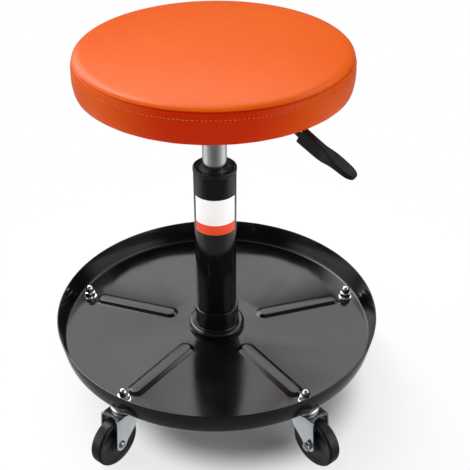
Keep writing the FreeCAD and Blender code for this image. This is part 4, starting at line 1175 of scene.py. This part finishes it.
@dataclass
class Mechanism:
    """What carries the seat: cone socket, bracket, plate, bolts, board and tee nuts."""

    body: str = "seat"

    def build(self) -> None:
        """Makes refined copies of the visible nodes."""
        for node, name, finish, width_mm, segments in (
            ("cone_socket", "welded_cone_socket", BLACK_OXIDE, 0.4, 2),
            ("lift_bracket", "folded_bracket", BLACK_OXIDE, 0.8, 3),
            ("seat_plate", "mounting_plate", BLACK_OXIDE, 0.5, 2),
            ("seat_bolts", "hexagon_bolts", ZINC, 0.35, 2),
            ("lever_pivot_pin", "riveted_pivot_pin", ZINC, 0.3, 2),
            ("seat_board", "plywood_board", BOARD_PLY, 0.5, 2),
        ):
            refined(node, name, self.body, finish, width_mm, segments)
        dress_node("tee_nuts", ZINC)


@dataclass
class Lever:
    """The bent rod and the moulded paddle on its end."""

    pivot: Vector
    root_width: float = 8.0 * MM
    root_height: float = 17.0 * MM
    blade_width: float = 16.4 * MM
    blade_thickness: float = 6.6 * MM
    blade_drop: float = 1.2 * MM
    edge_round: float = 1.1 * MM
    lean: float = math.radians(25.0)
    reach: float = 97.5 * MM
    root_start: float = 20.0 * MM
    lever_drop: float = 17.0 * MM

    def build(self) -> None:
        """Dresses the rod and makes the paddle."""
        refined("lever_rod", "bent_lever_rod", "lever", BLACK_OXIDE, 0.3)
        self.add_paddle()

    def stations(self) -> list[tuple[float, float, float, float]]:
        """Cross-sections along the paddle: distance, half width, top and bottom."""
        top = self.root_height / 2
        root = self.root_width / 2
        wide = self.blade_width / 2
        blade = top - self.blade_drop
        low = blade - self.blade_thickness
        return [
            (0.0, root, top, -top),
            (4.0 * MM, root, top, -top),
            (24.0 * MM, root, top - 0.3 * MM, -top + 0.4 * MM),
            (30.0 * MM, root * 1.12, top - 0.4 * MM, -top + 1.2 * MM),
            (36.0 * MM, root * 1.55, top - 0.6 * MM, -top + 3.4 * MM),
            (42.5 * MM, wide * 0.95, top - 0.8 * MM, low - 2.4 * MM),
            (49.0 * MM, wide, blade, low - 0.6 * MM),
            (60.0 * MM, wide, blade, low),
            (67.0 * MM, wide * 0.88, blade, low + 0.3 * MM),
            (70.8 * MM, wide * 0.66, blade - 0.3 * MM, low + 0.9 * MM),
            (72.6 * MM, wide * 0.4, blade - 0.8 * MM, low + 1.4 * MM),
            (73.0 * MM, wide * 0.2, blade - 1.4 * MM, low + 2.0 * MM),
        ]

    def add_paddle(self) -> None:
        """Lofts the paddle by extruding its root's end face from station to station."""
        bm = bmesh.new()
        stations = self.stations()
        start, half, top, bottom = stations[0]
        corners = [(start, -half, bottom), (start, half, bottom), (start, half, top), (start, -half, top)]
        face = bm.faces.new([bm.verts.new(corner) for corner in corners])
        for distance, half, top, bottom in stations[1:]:
            face = bmesh.ops.extrude_discrete_faces(bm, faces=[face])["faces"][0]
            for vert in face.verts:
                side = 1 if vert.co.y > 0 else -1
                vert.co = Vector((distance, side * half, top if vert.co.z > (top + bottom) / 2 else bottom))
        bm.faces.new([bm.verts.new(corner) for corner in (corners[0], corners[3], corners[2], corners[1])])
        bmesh.ops.remove_doubles(bm, verts=bm.verts, dist=MERGE)
        bmesh.ops.recalc_face_normals(bm, faces=bm.faces)
        long_edges = [edge for edge in bm.edges if edge.calc_face_angle(0.0) > math.radians(50)]
        bevel(bm, long_edges, self.edge_round, 3)
        root = self.reach + self.root_start * math.cos(self.lean)
        height = span_of("seat_plate")[1] - self.lever_drop - self.root_start * math.sin(self.lean)
        azimuth = math.atan2(self.pivot.y, self.pivot.x)
        spot = Matrix.Rotation(azimuth, 4, "Z") @ Matrix.Translation((root, 0, height))
        bmesh.ops.transform(bm, matrix=spot @ Matrix.Rotation(self.lean, 4, "Y"), verts=bm.verts)
        round_off(publish(bm, "moulded_paddle", "lever", LEVER_ABS, ("lever_paddle",), 50.0))


@dataclass
class Caster:
    """One swivel caster: its fork, axle, wheel and bush."""

    number: int
    stud: Vector
    axle: Vector
    steps: int = 96
    radius: float = 31.75 * MM
    half: float = 7.75 * MM
    hub_half: float = 10.65 * MM
    bore: float = 5.05 * MM
    web: float = 6.0 * MM
    rim_depth: float = 5.5 * MM
    shoulder: float = 3.4 * MM
    crown: float = 0.12 * MM

    def build(self) -> None:
        """Makes the caster's pieces and dresses its bush."""
        label = "caster_%d_" % self.number
        refined(label + "fork", label + "pressed_fork", label + "swivel", ZINC, 0.7, 3)
        refined(label + "axle", label + "axle_bolt", label + "swivel", BOLT_ZINC, 0.25)
        refined(label + "axle_nut", label + "lock_nut", label + "swivel", BOLT_ZINC, 0.4)
        dress_node(label + "bush", BEARING_NYLON)
        wheel = turn_profile(self.wheel_profile(), self.steps)
        bmesh.ops.transform(wheel, matrix=self.place(), verts=wheel.verts)
        publish(wheel, label + "solid_wheel", label + "roller", WHEEL_PU, (label + "wheel",), 50.0)

    def place(self) -> Matrix:
        """From a wheel turned about Z at the origin to its axle."""
        trail = (self.axle - self.stud).xy
        heading = Matrix.Rotation(math.atan2(trail.y, trail.x), 4, "Z")
        centre = Vector((self.axle.x, self.axle.y, self.radius))
        return Matrix.Translation(centre) @ heading @ Matrix.Rotation(math.pi / 2, 4, "X")

    def wheel_profile(self) -> list[Point]:
        """Crowned tread with round shoulders, a slightly recessed web and a hub."""
        rim = self.radius - self.rim_depth
        half = self.half
        web = self.web
        side = [(self.bore, self.hub_half), (9.5 * MM, self.hub_half), (11.0 * MM, self.hub_half - 1.2 * MM)]
        side += [(12.0 * MM, web + 0.6 * MM), (13.0 * MM, web), (rim - 2.6 * MM, web)]
        side += [(rim - 1.2 * MM, web + 0.8 * MM), (rim - 0.4 * MM, half - 1.2 * MM)]
        side.append((rim + 0.6 * MM, half - 0.2 * MM))
        side += arc((self.radius - self.shoulder, half - self.shoulder), self.shoulder, 80, 8, 7)
        side.append((self.radius - self.crown, half * 0.4))
        return side + [(self.radius, 0.0)] + [(radius, -height) for radius, height in reversed(side)]


@dataclass
class Casters:
    """The five casters, and the nodes that hold a piece of each."""

    spots: dict[str, Vector]

    def build(self) -> None:
        """Builds each caster between its two joints."""
        for number in range(1, 6):
            stud, axle = (self.spots["caster_%d_%s" % (number, motion)] for motion in ("turn", "spin"))
            Caster(number, stud, axle).build()
        refined("caster_races", "domed_races", "base", CHROME, 0.3)
        refined("caster_stems", "caster_threaded_stems", "base", OILED_STEEL, 0.3)
        dress_node("ball_rings", OILED_STEEL)


@dataclass(frozen=True)
class Softbox:
    """A soft-edged bright patch of the surround, with its angles in degrees."""

    azimuth: float
    elevation: float
    inner: float
    outer: float
    strength: float

    def glow(self, tree: Tree, direction: Socket) -> Socket:
        """Adds the patch's brightness for a direction."""
        azimuth = math.radians(self.azimuth)
        elevation = math.radians(self.elevation)
        level = math.cos(elevation)
        aim = level * math.cos(azimuth), level * math.sin(azimuth), math.sin(elevation)
        facing = add_node(tree, "VectorMath", {0: direction, 1: aim}, operation="DOT_PRODUCT")
        far, near = (math.cos(math.radians(angle)) for angle in (self.outer, self.inner))
        edge = {"Value": facing, "From Min": far, "From Max": near, "To Max": self.strength}
        return add_node(tree, "MapRange", edge, interpolation_type="SMOOTHSTEP")


@dataclass
class Studio:
    """Floor, surround, lamp and camera."""

    ambient: float = 0.13
    softboxes: tuple[Softbox, ...] = (
        Softbox(azimuth=103.0, elevation=54.0, inner=20.0, outer=32.0, strength=2.2),
        Softbox(azimuth=130.0, elevation=22.0, inner=6.0, outer=22.0, strength=3.0),
        Softbox(azimuth=132.0, elevation=50.0, inner=8.0, outer=17.0, strength=7.0),
        Softbox(azimuth=32.0, elevation=42.0, inner=4.0, outer=15.0, strength=2.8),
        Softbox(azimuth=185.0, elevation=14.0, inner=12.0, outer=38.0, strength=2.2),
        Softbox(azimuth=-18.0, elevation=14.0, inner=12.0, outer=38.0, strength=2.2),
    )
    lamp_spot: Triple = (-0.35, -0.1, 1.9)
    lamp_aim: Triple = (0.0, 0.0, 0.25)
    lamp_size: Point = (1.1, 0.9)
    lamp_power: float = 7.0
    floor_size: float = 6.0
    floor_gap: float = 0.1 * MM
    focal_px: float = 892.1
    image_px: float = 470.0
    eye: Triple = (0.0236, -0.9011, 0.8048)
    yaw: float = -0.0261
    pitch: float = 0.6580
    roll: float = -0.0130
    centre_px: Point = (-18.45, 70.03)

    def build(self) -> None:
        """Sets up everything round the object."""
        self.add_floor()
        self.add_world()
        self.add_lamp()
        self.add_camera()
        bpy.context.scene.view_settings.view_transform = "Standard"

    def add_floor(self) -> None:
        """A wide pale floor just under the wheels."""
        bm = bmesh.new()
        place = Matrix.Translation((0, 0, -self.floor_gap))
        bmesh.ops.create_grid(bm, x_segments=4, y_segments=4, size=self.floor_size, matrix=place)
        mesh = bpy.data.meshes.new("studio_floor")
        bm.to_mesh(mesh)
        bm.free()
        mesh.materials.append(FLOOR_PAPER.material())
        floor = bpy.data.objects.new("studio_floor", mesh)
        bpy.context.scene.collection.objects.link(floor)

    def add_world(self) -> None:
        """A dim surround with soft bright patches, white to the camera."""
        world = bpy.data.worlds.new("studio_world")
        world.use_nodes = True
        tree = world.node_tree
        direction = add_node(tree, "TexCoord", output="Generated")
        total = add_node(tree, "Value")
        total.default_value = self.ambient
        for softbox in self.softboxes:
            total = add_node(tree, "Math", {0: total, 1: softbox.glow(tree, direction)}, operation="ADD")
        surround = add_node(tree, "Background", {"Color": WHITE, "Strength": total})
        white = add_node(tree, "Background", {"Color": WHITE, "Strength": 1.0})
        camera_ray = add_node(tree, "LightPath", output="Is Camera Ray")
        both = add_node(tree, "MixShader", {0: camera_ray, 1: surround, 2: white})
        put(tree, tree.nodes["World Output"].inputs[0], both)
        bpy.context.scene.world = world

    def add_lamp(self) -> None:
        """A broad soft lamp above and to the left, which casts the floor's shadow."""
        data = bpy.data.lights.new("overhead_softbox", "AREA")
        data.shape = "RECTANGLE"
        data.size, data.size_y = self.lamp_size
        data.energy = self.lamp_power
        lamp = bpy.data.objects.new("overhead_softbox", data)
        lamp.location = self.lamp_spot
        aim = Vector(self.lamp_aim) - Vector(self.lamp_spot)
        lamp.rotation_euler = aim.to_track_quat("-Z", "Y").to_euler()
        # the ribs' near slopes reflect straight up and are dark in the photo
        lamp.visible_glossy = False
        bpy.context.scene.collection.objects.link(lamp)

    def add_camera(self) -> None:
        """The camera that was fitted to the rim, the seat, the column and the wheels."""
        data = bpy.data.cameras.new("photo_camera")
        data.sensor_width = 36.0
        data.lens = data.sensor_width * self.focal_px / self.image_px
        data.shift_x = -self.centre_px[0] / self.image_px
        data.shift_y = self.centre_px[1] / self.image_px
        level = math.cos(self.pitch)
        forward = Vector((math.sin(self.yaw) * level, math.cos(self.yaw) * level, -math.sin(self.pitch)))
        right = Vector((math.cos(self.yaw), -math.sin(self.yaw), 0.0))
        up = right.cross(forward)
        tipped_right = math.cos(self.roll) * right + math.sin(self.roll) * up
        tipped_up = -math.sin(self.roll) * right + math.cos(self.roll) * up
        turned = Matrix((tipped_right, tipped_up, -forward)).transposed()
        camera = bpy.data.objects.new("photo_camera", data)
        camera.matrix_world = Matrix.Translation(self.eye) @ turned.to_4x4()
        bpy.context.scene.collection.objects.link(camera)
        bpy.context.scene.camera = camera


def main() -> None:
    """Builds the sub-assemblies in order."""
    logging.basicConfig(level=logging.INFO, format="%(message)s")
    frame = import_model()
    spots = {joint["name"]: Vector(joint["pos_m"]) for joint in frame["joints"]}
    studs = [Vector((spot.x, spot.y, 0.0)) for name, spot in spots.items() if name.endswith("_turn")]
    for assembly in (
        Cushion(), Tray(studs), Column(), Mechanism(), Lever(spots["lever_pivot"]), Casters(spots), Studio()
    ):
        assembly.build()


if __name__ == "__main__":
    main()
